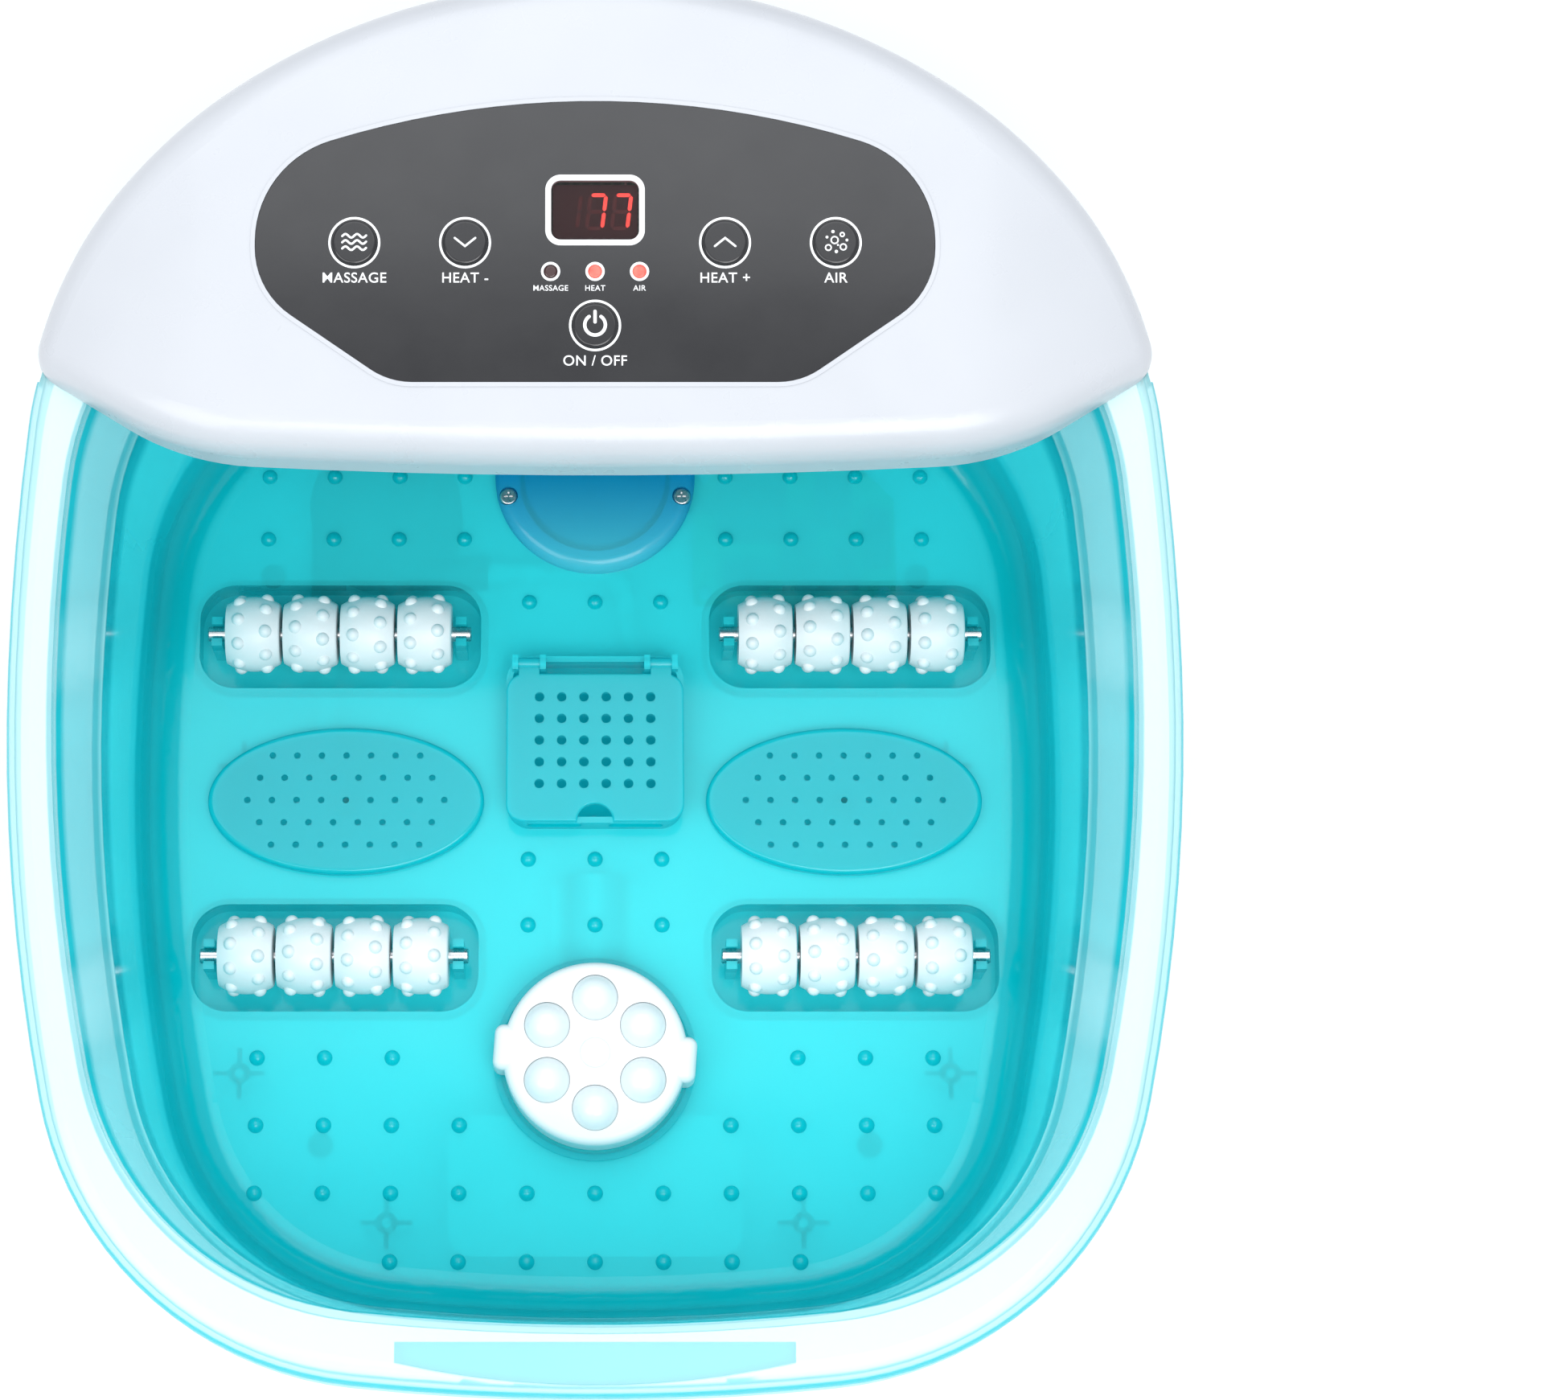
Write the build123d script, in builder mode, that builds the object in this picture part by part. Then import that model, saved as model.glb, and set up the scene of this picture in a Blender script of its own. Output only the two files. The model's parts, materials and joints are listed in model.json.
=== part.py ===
from build123d import *

import os
from collections import namedtuple
from math import cos, hypot, radians, sin

# Foot spa basin with heater, bubbles, vibration, four massage rollers and a control hood.
# Millimetres. +X is the user's right, +Y points away from the user to the control hood, +Z is up.
# The origin is on the surface that the basin stands on, under the middle of its bounding box.

# ---------------------------------------------------------------- driving dimensions
RIM_TOP = 168.0
RIM_DROP = 18.0  # height of the rim's down-turned lip
RIM_ROUND = 8.0
RIM_SKIN = 2.7
# Pouring lip: half width, then how far its edge lies behind the rim's, at the middle and at the ends
LIP_FLAT = (58.0, 3.6, 10.0)
WALL = 2.8
STEP_Z = 125.0  # height of the fill-line crease in the basin wall
FLOOR_Z = 40.0  # top of the basin floor
FLOOR_UNDER = FLOOR_Z - WALL
FOOT_HEIGHT = 6.0
PAN_RIM_Z = 58.0  # top edge of the lower casing
PAN_WALL = 2.5
PAN_FLOOR_Z = FOOT_HEIGHT + PAN_WALL
PAN_GAP = 0.4  # between the basin and the lower casing
PAN_ROUND = 9.0

# A plan is an egg-shaped outline. widest is the Y of its widest point; the radii are its corners'.
Plan = namedtuple("Plan", "half_width front rear front_radius rear_radius widest")
RIM = Plan(178.0, -213.0, 212.0, 106.0, 113.0, 5.0)
WELL_TOP = Plan(163.5, -192.5, 180.0, 91.0, 98.0, 5.0)
WELL_STEP = Plan(154.0, -187.0, 175.0, 85.0, 92.0, 5.0)
WELL_FLOOR = Plan(147.0, -177.5, 168.0, 79.0, 86.0, 5.0)
FRONT_TURNS = (6.0, 71.6, 12.4)
REAR_TURNS = (5.0, 38.5, 46.5)
FLOOR_ROUND = 12.0

# Control hood
HOOD_OVERHANG = 1.0
HOOD_WALL = 2.4
HOOD_BASE_Z = RIM_TOP + 0.3
HOOD_FRONT_Y = 64.0
HOOD_TILT = 9.0
HOOD_ORIGIN = (0.0, 128.0, 196.9)
HOOD_FLAT = 105.0  # half width of the flat part of its top
HOOD_SHOULDER = 130.0  # radius of the top where it falls to each side
HOOD_EDGE = 12.0
HOOD_CORNER = 12.0
HOOD_BACK_Y = 195.0  # where its wires come up through the rim

# Layout of the basin floor
ROLLER_X = 86.0
ROLLER_Y = {"rear": 48.0, "front": -62.0}
ROLLER_AXIS_Z = 43.0
TROUGH = (95.0, 36.0, 12.0)  # length, width, corner radius
TROUGH_Z = 27.4
CRADLE_X = 41.0  # of each axle cradle, from the middle of its roller
AXLE_R = 2.5
AXLE_LENGTH = 89.0
WHEEL_WIDTH = 18.0
WHEEL_GAP = 1.2
WHEEL_R = 12.6
WHEEL_COUNT = 4
HEAD_Y = -96.0
HEAD_R = 30.0
BALL_R = 8.0
BALL_RING = 18.0
SOCKET_R = 6.2
BOX_Y = 10.0
BOX_SIZE = (59.0, 57.0)
PLATE_X = 83.0
PLATE_Y = -9.5
PLATE_SIZE = (92.0, 50.0)
LAMP_Y = 104.0
LAMP_R = 34.0
LAMP_WINDOW_R = 26.0
LAMP_SCREWS = [(-29.4, LAMP_Y - 8), (29.4, LAMP_Y - 8)]
AIR_INLET_R = 4.1
NUB_PITCH = 22.2
NUB_R = 2.6
NUB_FIRST_Y = -162.0
BOSSES = [(117.0, -100.0), (68.0, -149.0), (118.0, 4.0), (88.0, 128.0)]
BOSS_R = 3.6
BOSS_RIB = (17.0, 1.6)
HOOD_SCREWS = [(156.8, 117.0), (87.0, 182.3)]

PANEL_SIZE = (102.5, 43.7, -42.1)  # half width, top, bottom, measured along the sloping panel
PANEL_CROWN_R = 268.0  # radius of its upper edge
PANEL_FOOT = 61.9  # half width of its lower edge
BUTTONS = {
    "button_vibration": (-72.6, 0.3),
    "button_temp_down": (-39.2, 0.3),
    "button_temp_up": (39.2, 0.3),
    "button_bubble": (72.6, 0.3),
    "button_power": (0.0, -25.0),
}
BUTTON_R = 6.95
BUTTON_TOP = 1.2  # height of the key caps above the panel
BUTTON_FLANGE = (8.6, -4.6, 1.2)  # radius, underside, thickness
RING_R = (7.15, 7.85)
LED_R = 2.1
LED_RING_R = (2.15, 2.9)
DISPLAY = (0.0, 10.3)
DISPLAY_SIZE = (30.0, 21.6)
DISPLAY_CORNER = 4.6
BEZEL_WIDTH = 1.7
LED_X = (-13.4, 0.0, 13.4)
LED_Y = -8.5
PANEL_THICK = 2.0
CONTROL_BOARD = (176.0, 56.0)
CONTROL_BOARD_N = -13.6  # height of the control board's underside, from the panel's face
CONTROL_BOARD_TOP = CONTROL_BOARD_N + 1.6
CONTROL_POSTS = [(56.0, 20.0), (56.0, -22.0)]

# Lower casing and what it holds
FEET = [(92.0, -120.0), (112.0, 78.0)]
FOOT_PEG_R = 4.0
DUCT_DOOR_Z = 39.5
DUCT_REAR = 203.0
DUCT_HALF = 19.0
DUCT_SKIN = 2.0
GLAND_X = 0.0
GLAND_Z = 20.0
GLAND_SEAT = 171.5
MOTOR_Y = -48.0
MOTOR_Z = 22.0
MOTOR_R = 11.6
MOTOR_HALF = 17.0
BLOWER = (-72.0, 97.0)
BLOWER_R = 26.0
BLOWER_Z = 10.5
BLOWER_HEIGHT = 21.0
BLOWER_SKIN = 2.0
OUTLET = (20.0, 35.0)  # the blower's outlets: distance beside its axis, and how far they reach
HOSE_Z = 17.0
HOSE_R = 4.0
BOARD_Z = 14.0
BOARD_OUTLINE = [(34, 66), (104, 66), (104, 104), (92, 116), (34, 116)]
BOARD_POSTS = [(38.0, 70.0), (100.0, 70.0), (38.0, 112.0), (89.0, 112.0)]
BOARD_THICK = 1.6
# length and width along X and Y, then height, of each block that stands on the mains board
BOARD_BLOCKS = [
    (54.0, 98.0, 24.0, 20.0, 16.0),
    (82.0, 101.0, 12.0, 16.0, 13.0),
    (97.0, 88.0, 9.0, 18.0, 12.0),
    (80.0, 74.0, 22.0, 7.0, 9.0),
    (52.0, 75.0, 16.0, 8.0, 10.0),
    (66.0, 77.0, 3.0, 14.0, 14.0),
]
BOARD_CANS = [(71.8, 88.0, 5.0, 15.0), (76.0, 81.0, 3.0, 10.0), (86.0, 83.0, 4.0, 12.0)]
HARNESS_R = 2.5
LAMP_BOARD_Z = 31.4
HEATER_Y = -137.0
HEATER_Z = FLOOR_UNDER - 5.5
HEATER_BEND = (39.0, 13.0)  # half length and half width of the element's loop

# Massage head and herb box
HEAD_BOTTOM = 42.3
HEAD_TOP = 56.0
HEAD_PLATE = (27.0, 2.1)  # radius and thickness of the plate that closes the head
HEAD_SCREW_RING = 24.0
BALL_Z = 52.7
BOX_HEIGHT = 10.0
BOX_LID_Z = 50.35
BOX_HINGE_Y = BOX_Y + BOX_SIZE[1] / 2 - 3
BOX_HINGE_Z = 51.55
BOX_HINGE_X = 22.0
LID_THICK = 2.4
KNUCKLE = 6.8
PIN_R = 1.25

HOOD_PLANE = Plane(
    origin=HOOD_ORIGIN,
    x_dir=(1, 0, 0),
    z_dir=(0, -sin(radians(HOOD_TILT)), cos(radians(HOOD_TILT))),
)


def save(piece, name):
    """Labels a finished piece and writes it to parts/."""
    shape = piece.part if isinstance(piece, BuildPart) else piece
    shape.label = name
    export_step(shape, f"parts/{name}.step")


# ---------------------------------------------------------------- outlines
def end_radii(reach, heading, turns, middle):
    """First and last radii of three tangent arcs that travel `reach` while they turn left by `turns`."""
    stops = [heading]
    for turn in turns:
        stops.append(stops[-1] + turn)
    steps = [
        (
            sin(radians(b)) - sin(radians(a)),
            cos(radians(a)) - cos(radians(b)),
        )
        for a, b in zip(stops, stops[1:])
    ]
    left_x = reach[0] - middle * steps[1][0]
    left_y = reach[1] - middle * steps[1][1]
    scale = steps[0][0] * steps[2][1] - steps[2][0] * steps[0][1]
    first = (left_x * steps[2][1] - steps[2][0] * left_y) / scale
    last = (steps[0][0] * left_y - left_x * steps[0][1]) / scale
    return first, last


def plan_face(plan, outset=0.0, mode=Mode.ADD):
    """Adds a plan's outline to the current sketch, moved `outset` outside its own edge."""
    half = plan.half_width + outset
    front = plan.front - outset
    rear = plan.rear + outset
    front_r = plan.front_radius + outset
    rear_r = plan.rear_radius + outset
    nose, flank = end_radii((half, plan.widest - front), 0.0, FRONT_TURNS, front_r)
    haunch, tail = end_radii((-half, rear - plan.widest), 90.0, REAR_TURNS, rear_r)
    radii = (nose, front_r, flank, haunch, rear_r, tail)
    with BuildLine() as edge:
        spot, heading = Vector(0, front), Vector(1, 0)
        for radius, turn in zip(radii, FRONT_TURNS + REAR_TURNS):
            arc = JernArc(spot, heading, radius, turn)
            spot, heading = arc @ 1, arc % 1
        mirror(about=Plane.YZ)
    make_face(edge.edges(), mode=mode)


def between(low, high, share):
    """The plan that lies `share` of the way from one plan to another."""
    return Plan(*(a + (b - a) * share for a, b in zip(low, high)))


def well_plan(z):
    """The plan of the basin's inside at a height."""
    if z >= STEP_Z:
        return between(WELL_STEP, WELL_TOP, (z - STEP_Z) / (RIM_TOP - STEP_Z))
    return between(WELL_FLOOR, WELL_STEP, (z - FLOOR_Z) / (STEP_Z - FLOOR_Z))


def hood_front(inset, mode=Mode.INTERSECT):
    """Keeps the part of the sketch behind the hood's front edge, moved `inset` backwards."""
    reach = 260.0
    with BuildLine() as edge:
        brow = JernArc((0, HOOD_FRONT_Y + inset), (1, 0), 2000 - inset, 3)
        bend = JernArc(brow @ 1, brow % 1, 80 - inset, 29)
        run = PolarLine(bend @ 1, 60, direction=bend % 1)
        side = Line(run @ 1, (reach, (run @ 1).Y))
        back = Line(side @ 1, (reach, reach))
        Line(back @ 1, (0, reach))
        mirror(about=Plane.YZ)
    make_face(edge.edges(), mode=mode)


def bowl(outset, bottom, radius):
    """A solid the shape of the basin's well, `outset` larger, with a rounded lower edge."""
    with BuildPart() as solid:
        for z, plan in ((bottom, WELL_FLOOR), (STEP_Z, WELL_STEP), (RIM_TOP, WELL_TOP)):
            with BuildSketch(Plane.XY.offset(z)):
                plan_face(plan, outset)
        loft(ruled=True)
        fillet(solid.edges().group_by(Axis.Z)[0], radius)
    return solid.part


def casing(bottom, top, outset, radius=0):
    """A solid between two heights, `outset` larger than the basin's well, with a rounded lower edge."""
    with BuildPart() as solid:
        for z in (bottom, top):
            with BuildSketch(Plane.XY.offset(z)):
                plan_face(well_plan(z), outset)
        loft(ruled=True)
        if radius:
            fillet(solid.edges().group_by(Axis.Z)[0], radius)
    return solid.part


def under_rim():
    """The space inside the rim's down-turned lip."""
    with BuildPart() as space:
        with BuildSketch(Plane.XY.offset(RIM_TOP - RIM_DROP)):
            plan_face(RIM, -RIM_SKIN)
        extrude(amount=RIM_DROP - WALL)
        fillet(space.edges().group_by(Axis.Z)[-1], 2.5)
    return space.part


# ---------------------------------------------------------------- basin
def both_sides(points):
    """The points and their mirror images in X."""
    return [(sx * x, y) for x, y in points for sx in (-1, 1)]


def roller_places():
    """(name, x, y) of each roller."""
    return [
        (f"{row}_{side}", sign * ROLLER_X, y)
        for row, y in ROLLER_Y.items()
        for side, sign in (("left", -1), ("right", 1))
    ]


def is_taken(x, y):
    """True near a roller, a bubble plate, the herb box, the massage head or the lamp."""
    by_roller = any(abs(abs(x) - ROLLER_X) < 53 and abs(y - row) < 24 for row in ROLLER_Y.values())
    by_plate = abs(abs(x) - PLATE_X) < 52 and abs(y - PLATE_Y) < 33
    by_box = abs(x) < 38 and abs(y - BOX_Y) < 36
    by_head = hypot(x / 46, (y - HEAD_Y) / 42) < 1
    by_lamp = hypot(x, y - LAMP_Y) < LAMP_R + 8
    return by_roller or by_plate or by_box or by_head or by_lamp


def nub_places():
    """Points of a grid on the flat of the floor that nothing else stands on."""
    with BuildSketch() as flat:
        plan_face(WELL_FLOOR, 3 - FLOOR_ROUND)
    floor = flat.sketch.faces()[0]
    columns = [NUB_PITCH * k for k in range(-6, 7)]
    rows = [NUB_FIRST_Y + NUB_PITCH * k for k in range(14)]
    grid = [(x, y) for y in rows for x in columns if not is_taken(x, y)]
    return [(x, y) for x, y in grid if floor.is_inside(Vector(x, y, 0))]


def make_rim():
    """The rim with its lip, its pouring flat and the rear step that the hood's skirt hangs in."""
    half, middle, ends = LIP_FLAT
    with BuildPart() as rim:
        with BuildSketch(Plane.XY.offset(RIM_TOP - RIM_DROP)):
            plan_face(RIM)
        extrude(amount=RIM_DROP)
        fillet(rim.edges().group_by(Axis.Z)[-1], RIM_ROUND)
        add(under_rim(), mode=Mode.SUBTRACT)
        with BuildSketch(Plane.XY.offset(RIM_TOP - RIM_ROUND)):
            with BuildLine():
                arc = ThreePointArc(
                    (-half, RIM.front + ends), (0, RIM.front + middle), (half, RIM.front + ends)
                )
                Polyline(arc @ 1, (half, RIM.front + 16), (-half, RIM.front + 16), arc @ 0)
            make_face()
        extrude(amount=RIM_ROUND)
        with BuildSketch(Plane.XY.offset(RIM_TOP - RIM_DROP)):
            plan_face(RIM, 20)
            plan_face(RIM, -1.5, mode=Mode.SUBTRACT)
            hood_front(-1.0)
        extrude(amount=RIM_DROP + 1, mode=Mode.SUBTRACT)
    return rim.part


def make_cradles():
    """Two slotted posts in each trough that hold an axle's ends."""
    middles = [(x, y) for _, x, y in roller_places()]
    with BuildPart() as cradles:
        with BuildSketch(Plane.XY.offset(TROUGH_Z - 0.5)):
            with Locations(*middles):
                with Locations((-CRADLE_X, 0), (CRADLE_X, 0)):
                    Rectangle(3.6, 10)
        extrude(amount=ROLLER_AXIS_Z + 4 - TROUGH_Z + 0.5)
        for x, y in middles:
            with BuildSketch(Plane.YZ.offset(x - AXLE_LENGTH / 2)):
                with Locations((y, ROLLER_AXIS_Z)):
                    Circle(AXLE_R + 0.05)
                with Locations((y, ROLLER_AXIS_Z + 5)):
                    Rectangle(2 * AXLE_R - 0.2, 10)
            extrude(amount=AXLE_LENGTH, mode=Mode.SUBTRACT)
    return cradles.part


def make_tub():
    """The one-piece translucent basin with its rim, roller troughs, sockets and screw bosses."""
    with BuildPart() as tub:
        add(make_rim())
        add(bowl(WALL, FLOOR_UNDER, FLOOR_ROUND + WALL))
        with BuildSketch(Plane.XY.offset(TROUGH_Z - WALL)):
            with Locations(*[(x, y) for _, x, y in roller_places()]):
                RectangleRounded(TROUGH[0] + 5, TROUGH[1] + 5, TROUGH[2] + 2.5)
        extrude(amount=FLOOR_UNDER - TROUGH_Z + WALL + 0.5)
        add(bowl(0, FLOOR_Z, FLOOR_ROUND), mode=Mode.SUBTRACT)
        with BuildSketch(Plane.XY.offset(TROUGH_Z)):
            with Locations(*[(x, y) for _, x, y in roller_places()]):
                RectangleRounded(*TROUGH)
        extrude(amount=FLOOR_Z - TROUGH_Z + 1, mode=Mode.SUBTRACT)
        add(make_cradles())
        # acupressure nubs
        with Locations(*[(x, y, FLOOR_Z - 0.1) for x, y in nub_places()]):
            Sphere(NUB_R)
        # socket of the massage head, with a locating ring round it
        with BuildSketch(Plane.XY.offset(FLOOR_Z - 8)):
            with Locations((0, HEAD_Y)):
                Circle(SOCKET_R + 4.8)
        extrude(amount=10)
        with BuildSketch(Plane.XY.offset(FLOOR_Z - 0.5)):
            with Locations((0, HEAD_Y)):
                Circle(HEAD_R + 3.4)
                Circle(HEAD_R + 1.4, mode=Mode.SUBTRACT)
        extrude(amount=2.5)
        with Locations((0, HEAD_Y, FLOOR_Z - 6)):
            Cylinder(SOCKET_R, 20, align=(Align.CENTER, Align.CENTER, Align.MIN), mode=Mode.SUBTRACT)
        # window under the lamp cover, its screw holes, and air inlets under the bubble plates
        with Locations((0, LAMP_Y, FLOOR_UNDER)):
            Cylinder(LAMP_WINDOW_R, 12, mode=Mode.SUBTRACT)
        with Locations(*[(x, y, FLOOR_Z) for x, y in LAMP_SCREWS]):
            Cylinder(1.4, 10, mode=Mode.SUBTRACT)
        with Locations(*[(x, y, FLOOR_UNDER) for x, y in both_sides([(PLATE_X, PLATE_Y)])]):
            Cylinder(AIR_INLET_R + 1.4, 8, align=(Align.CENTER, Align.CENTER, Align.MAX))
            Cylinder(AIR_INLET_R, 20, mode=Mode.SUBTRACT)
        # cross-ribbed bosses that take the base screws
        with BuildSketch(Plane.XY.offset(PAN_FLOOR_Z + 0.1)):
            with Locations(*both_sides(BOSSES)):
                Circle(BOSS_R)
                Rectangle(*BOSS_RIB)
                Rectangle(*BOSS_RIB[::-1])
                Circle(1.5, mode=Mode.SUBTRACT)
        extrude(amount=FLOOR_UNDER - PAN_FLOOR_Z)
        # screw holes for the hood and a slot for its wires
        with Locations(*[(x, y, RIM_TOP) for x, y in both_sides(HOOD_SCREWS)]):
            Cylinder(2.0, 10, mode=Mode.SUBTRACT)
        with BuildSketch(Plane.XY.offset(RIM_TOP - WALL - 1)):
            with Locations((0, HOOD_BACK_Y)):
                SlotOverall(24, 9)
        extrude(amount=WALL + 2, mode=Mode.SUBTRACT)
    return tub


# ---------------------------------------------------------------- lower casing
def make_base_pan():
    """White lower casing that hugs the basin, with its screw seats, vents, ribs and board posts."""
    with BuildPart() as pan:
        add(casing(FOOT_HEIGHT, PAN_RIM_Z, WALL + PAN_GAP + PAN_WALL, PAN_ROUND))
        add(casing(PAN_FLOOR_Z, PAN_RIM_Z + 1, WALL + PAN_GAP, PAN_ROUND - PAN_WALL), mode=Mode.SUBTRACT)
        fillet(pan.edges().group_by(Axis.Z)[-1], 0.8)
        with Locations(*[(x, y, FOOT_HEIGHT) for x, y in both_sides(BOSSES)]):
            Cylinder(2.0, 10, mode=Mode.SUBTRACT)
        with Locations(*[(x, y, FOOT_HEIGHT) for x, y in both_sides(FEET)]):
            Cylinder(FOOT_PEG_R + 0.05, 10, mode=Mode.SUBTRACT)
        # air intake under the blower
        with BuildSketch(Plane.XY.offset(FOOT_HEIGHT - 1)):
            with Locations(BLOWER):
                with GridLocations(0, 5.0, 1, 7):
                    SlotOverall(26, 2.4)
        extrude(amount=4, mode=Mode.SUBTRACT)
        # saddle of the vibration motor
        with BuildSketch(Plane.XY.offset(PAN_FLOOR_Z - 0.3)):
            with Locations((0, MOTOR_Y)):
                Rectangle(30, 30)
        extrude(amount=MOTOR_Z - 3 - PAN_FLOOR_Z)
        with BuildSketch(Plane.XZ.offset(-MOTOR_Y - 20)):
            with Locations((0, MOTOR_Z)):
                Circle(MOTOR_R)
        extrude(amount=40, mode=Mode.SUBTRACT)
        # posts of the mains board
        with BuildSketch(Plane.XY.offset(PAN_FLOOR_Z - 0.3)):
            with Locations(*BOARD_POSTS):
                Circle(3.5)
        extrude(amount=BOARD_Z - PAN_FLOOR_Z + 0.3)
        with Locations(*[(x, y, BOARD_Z) for x, y in BOARD_POSTS]):
            Cylinder(1.25, 6, align=(Align.CENTER, Align.CENTER, Align.MAX), mode=Mode.SUBTRACT)
        # flat seat and hole of the cord gland, and the doorway of the wire duct
        with BuildSketch(Plane.XZ.offset(-GLAND_SEAT)):
            with Locations((GLAND_X, GLAND_Z)):
                Circle(8.3)
        extrude(amount=-12, mode=Mode.SUBTRACT)
        with BuildSketch(Plane.XZ.offset(-GLAND_SEAT + 12)):
            with Locations((GLAND_X, GLAND_Z)):
                Circle(5.55)
        extrude(amount=-14, mode=Mode.SUBTRACT)
        with BuildSketch(Plane.XZ.offset(-160)):
            with Locations((0, DUCT_DOOR_Z)):
                Rectangle(18, 13)
        extrude(amount=-30, mode=Mode.SUBTRACT)
    return pan


def make_feet():
    """Four soft feet with pegs that plug into the casing."""
    with BuildPart() as feet:
        with BuildSketch():
            with Locations(*both_sides(FEET)):
                Circle(12)
        extrude(amount=FOOT_HEIGHT)
        fillet(feet.edges().group_by(Axis.Z)[0], 1.2)
        with BuildSketch(Plane.XY.offset(FOOT_HEIGHT)):
            with Locations(*both_sides(FEET)):
                Circle(FOOT_PEG_R)
        extrude(amount=4.5)
    return feet


def screw(shank_r, length, head_r, head_height):
    """Pan-head screw whose shank points up from a head that ends at z = 0."""
    with BuildPart() as one:
        with Locations((0, 0, -head_height)):
            Cylinder(head_r, head_height, align=(Align.CENTER, Align.CENTER, Align.MIN))
        fillet(one.edges().group_by(Axis.Z)[0], head_height * 0.45)
        with Locations((0, 0, -head_height)):
            Box(head_r, 0.6, head_height, mode=Mode.SUBTRACT)
            Box(0.6, head_r, head_height, mode=Mode.SUBTRACT)
        with BuildSketch():
            Circle(shank_r)
        extrude(amount=length)
    return one.part


def screw_group(places, shape, turned=False):
    """Several equal screws as one node; turned ones point down."""
    flip = (180, 0, 0) if turned else (0, 0, 0)
    with BuildPart() as group:
        with Locations(*[Location(place, flip) for place in places]):
            add(shape)
    return group


def make_cord_gland():
    """Flanged gland in the casing's rear wall, where the mains lead enters."""
    with BuildPart() as gland:
        with BuildSketch(Plane.XZ.offset(-GLAND_SEAT)):
            with Locations((GLAND_X, GLAND_Z)):
                Circle(8)
        extrude(amount=-3.5)
        fillet(gland.edges().filter_by(GeomType.CIRCLE).group_by(Axis.Y)[-1], 1.2)
        with BuildSketch(Plane.XZ.offset(-GLAND_SEAT)):
            with Locations((GLAND_X, GLAND_Z)):
                Circle(5.5)
        extrude(amount=8)
        with BuildSketch(Plane.XZ.offset(-GLAND_SEAT + 10)):
            with Locations((GLAND_X, GLAND_Z)):
                Circle(3.4)
        extrude(amount=-20, mode=Mode.SUBTRACT)
    return gland


def duct_profile(inset):
    """Side outline of the wire duct behind the basin, `inset` inside its skin."""
    top = RIM_TOP - WALL - 0.1
    bottom = DUCT_DOOR_Z - 8.5 + inset
    rear = DUCT_REAR - inset
    with BuildLine() as edge:
        Polyline(
            (150, bottom),
            (rear - 24, bottom),
            (rear - 15, bottom + 17),
            (rear, top - 22),
            (rear, top),
            (150, top),
            close=True,
        )
    make_face(edge.edges())


def is_duct_bend(edge):
    """True for the level edges where the duct's rear wall changes slope."""
    return edge.center().Z < 150 and edge.center().Y > 170


def make_cable_duct():
    """White cover over the wires that climb from the lower casing to the hood, behind the basin."""
    with BuildPart() as duct:
        with BuildSketch(Plane.YZ.offset(-DUCT_HALF)):
            duct_profile(0)
        extrude(amount=2 * DUCT_HALF)
        fillet(duct.edges().filter_by(Axis.X).filter_by(is_duct_bend), 3)
        with BuildSketch(Plane.YZ.offset(DUCT_SKIN - DUCT_HALF)):
            duct_profile(DUCT_SKIN)
        extrude(amount=2 * (DUCT_HALF - DUCT_SKIN), mode=Mode.SUBTRACT)
        add(bowl(WALL + 0.5, FLOOR_UNDER - 0.5, FLOOR_ROUND + WALL), mode=Mode.SUBTRACT)
        add(casing(FOOT_HEIGHT, PAN_RIM_Z + 0.3, WALL + PAN_GAP + PAN_WALL + 0.1), mode=Mode.SUBTRACT)
    return duct


# ---------------------------------------------------------------- works in the lower casing
def make_heater():
    """Aluminium plate under the floor with a bent tubular element pressed into it."""
    half, reach = HEATER_BEND
    ends = [(-half - 1, HEATER_Y + reach, HEATER_Z), (-half - 1, HEATER_Y - reach, HEATER_Z)]
    with BuildPart() as heater:
        with BuildSketch(Plane.XY.offset(FLOOR_UNDER - 3)):
            with Locations((0, HEATER_Y)):
                RectangleRounded(96, 46, 8)
        extrude(amount=2.8)
        with BuildLine() as bend:
            FilletPolyline(
                ends[0],
                (half - 1, HEATER_Y + reach, HEATER_Z),
                (half - 1, HEATER_Y - reach, HEATER_Z),
                ends[1],
                radius=reach - 0.5,
            )
        with BuildSketch(Plane(origin=bend.line @ 0, z_dir=bend.line % 0)):
            Circle(3)
        sweep()
        with Locations(*[(x - 3, y, z) for x, y, z in ends]):
            Box(8, 1.0, 4.8)
    return heater


def make_vibration_motor():
    """Motor can with its shaft, lying in the casing's saddle."""
    with BuildPart() as motor:
        with BuildSketch(Plane.XZ.offset(-MOTOR_Y - MOTOR_HALF)):
            with Locations((0, MOTOR_Z)):
                Circle(MOTOR_R - 0.1)
        extrude(amount=2 * MOTOR_HALF)
        fillet(motor.edges().filter_by(GeomType.CIRCLE), 1.5)
        with BuildSketch(Plane.XZ.offset(-MOTOR_Y + MOTOR_HALF)):
            with Locations((0, MOTOR_Z)):
                Circle(4)
        extrude(amount=1.8)
        with BuildSketch(Plane.XZ.offset(-MOTOR_Y + MOTOR_HALF + 1)):
            with Locations((0, MOTOR_Z)):
                Circle(1.5)
        extrude(amount=12)
    return motor


def make_eccentric_weight():
    """Half-round weight on the motor's shaft."""
    with BuildPart() as weight:
        with BuildSketch(Plane.XZ.offset(-MOTOR_Y + MOTOR_HALF + 3)):
            with Locations((0, MOTOR_Z)):
                Circle(10.5)
                with Locations((0, 11.5)):
                    Rectangle(30, 20, mode=Mode.SUBTRACT)
                Circle(3.6)
                Circle(1.55, mode=Mode.SUBTRACT)
        extrude(amount=8)
    return weight


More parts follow.
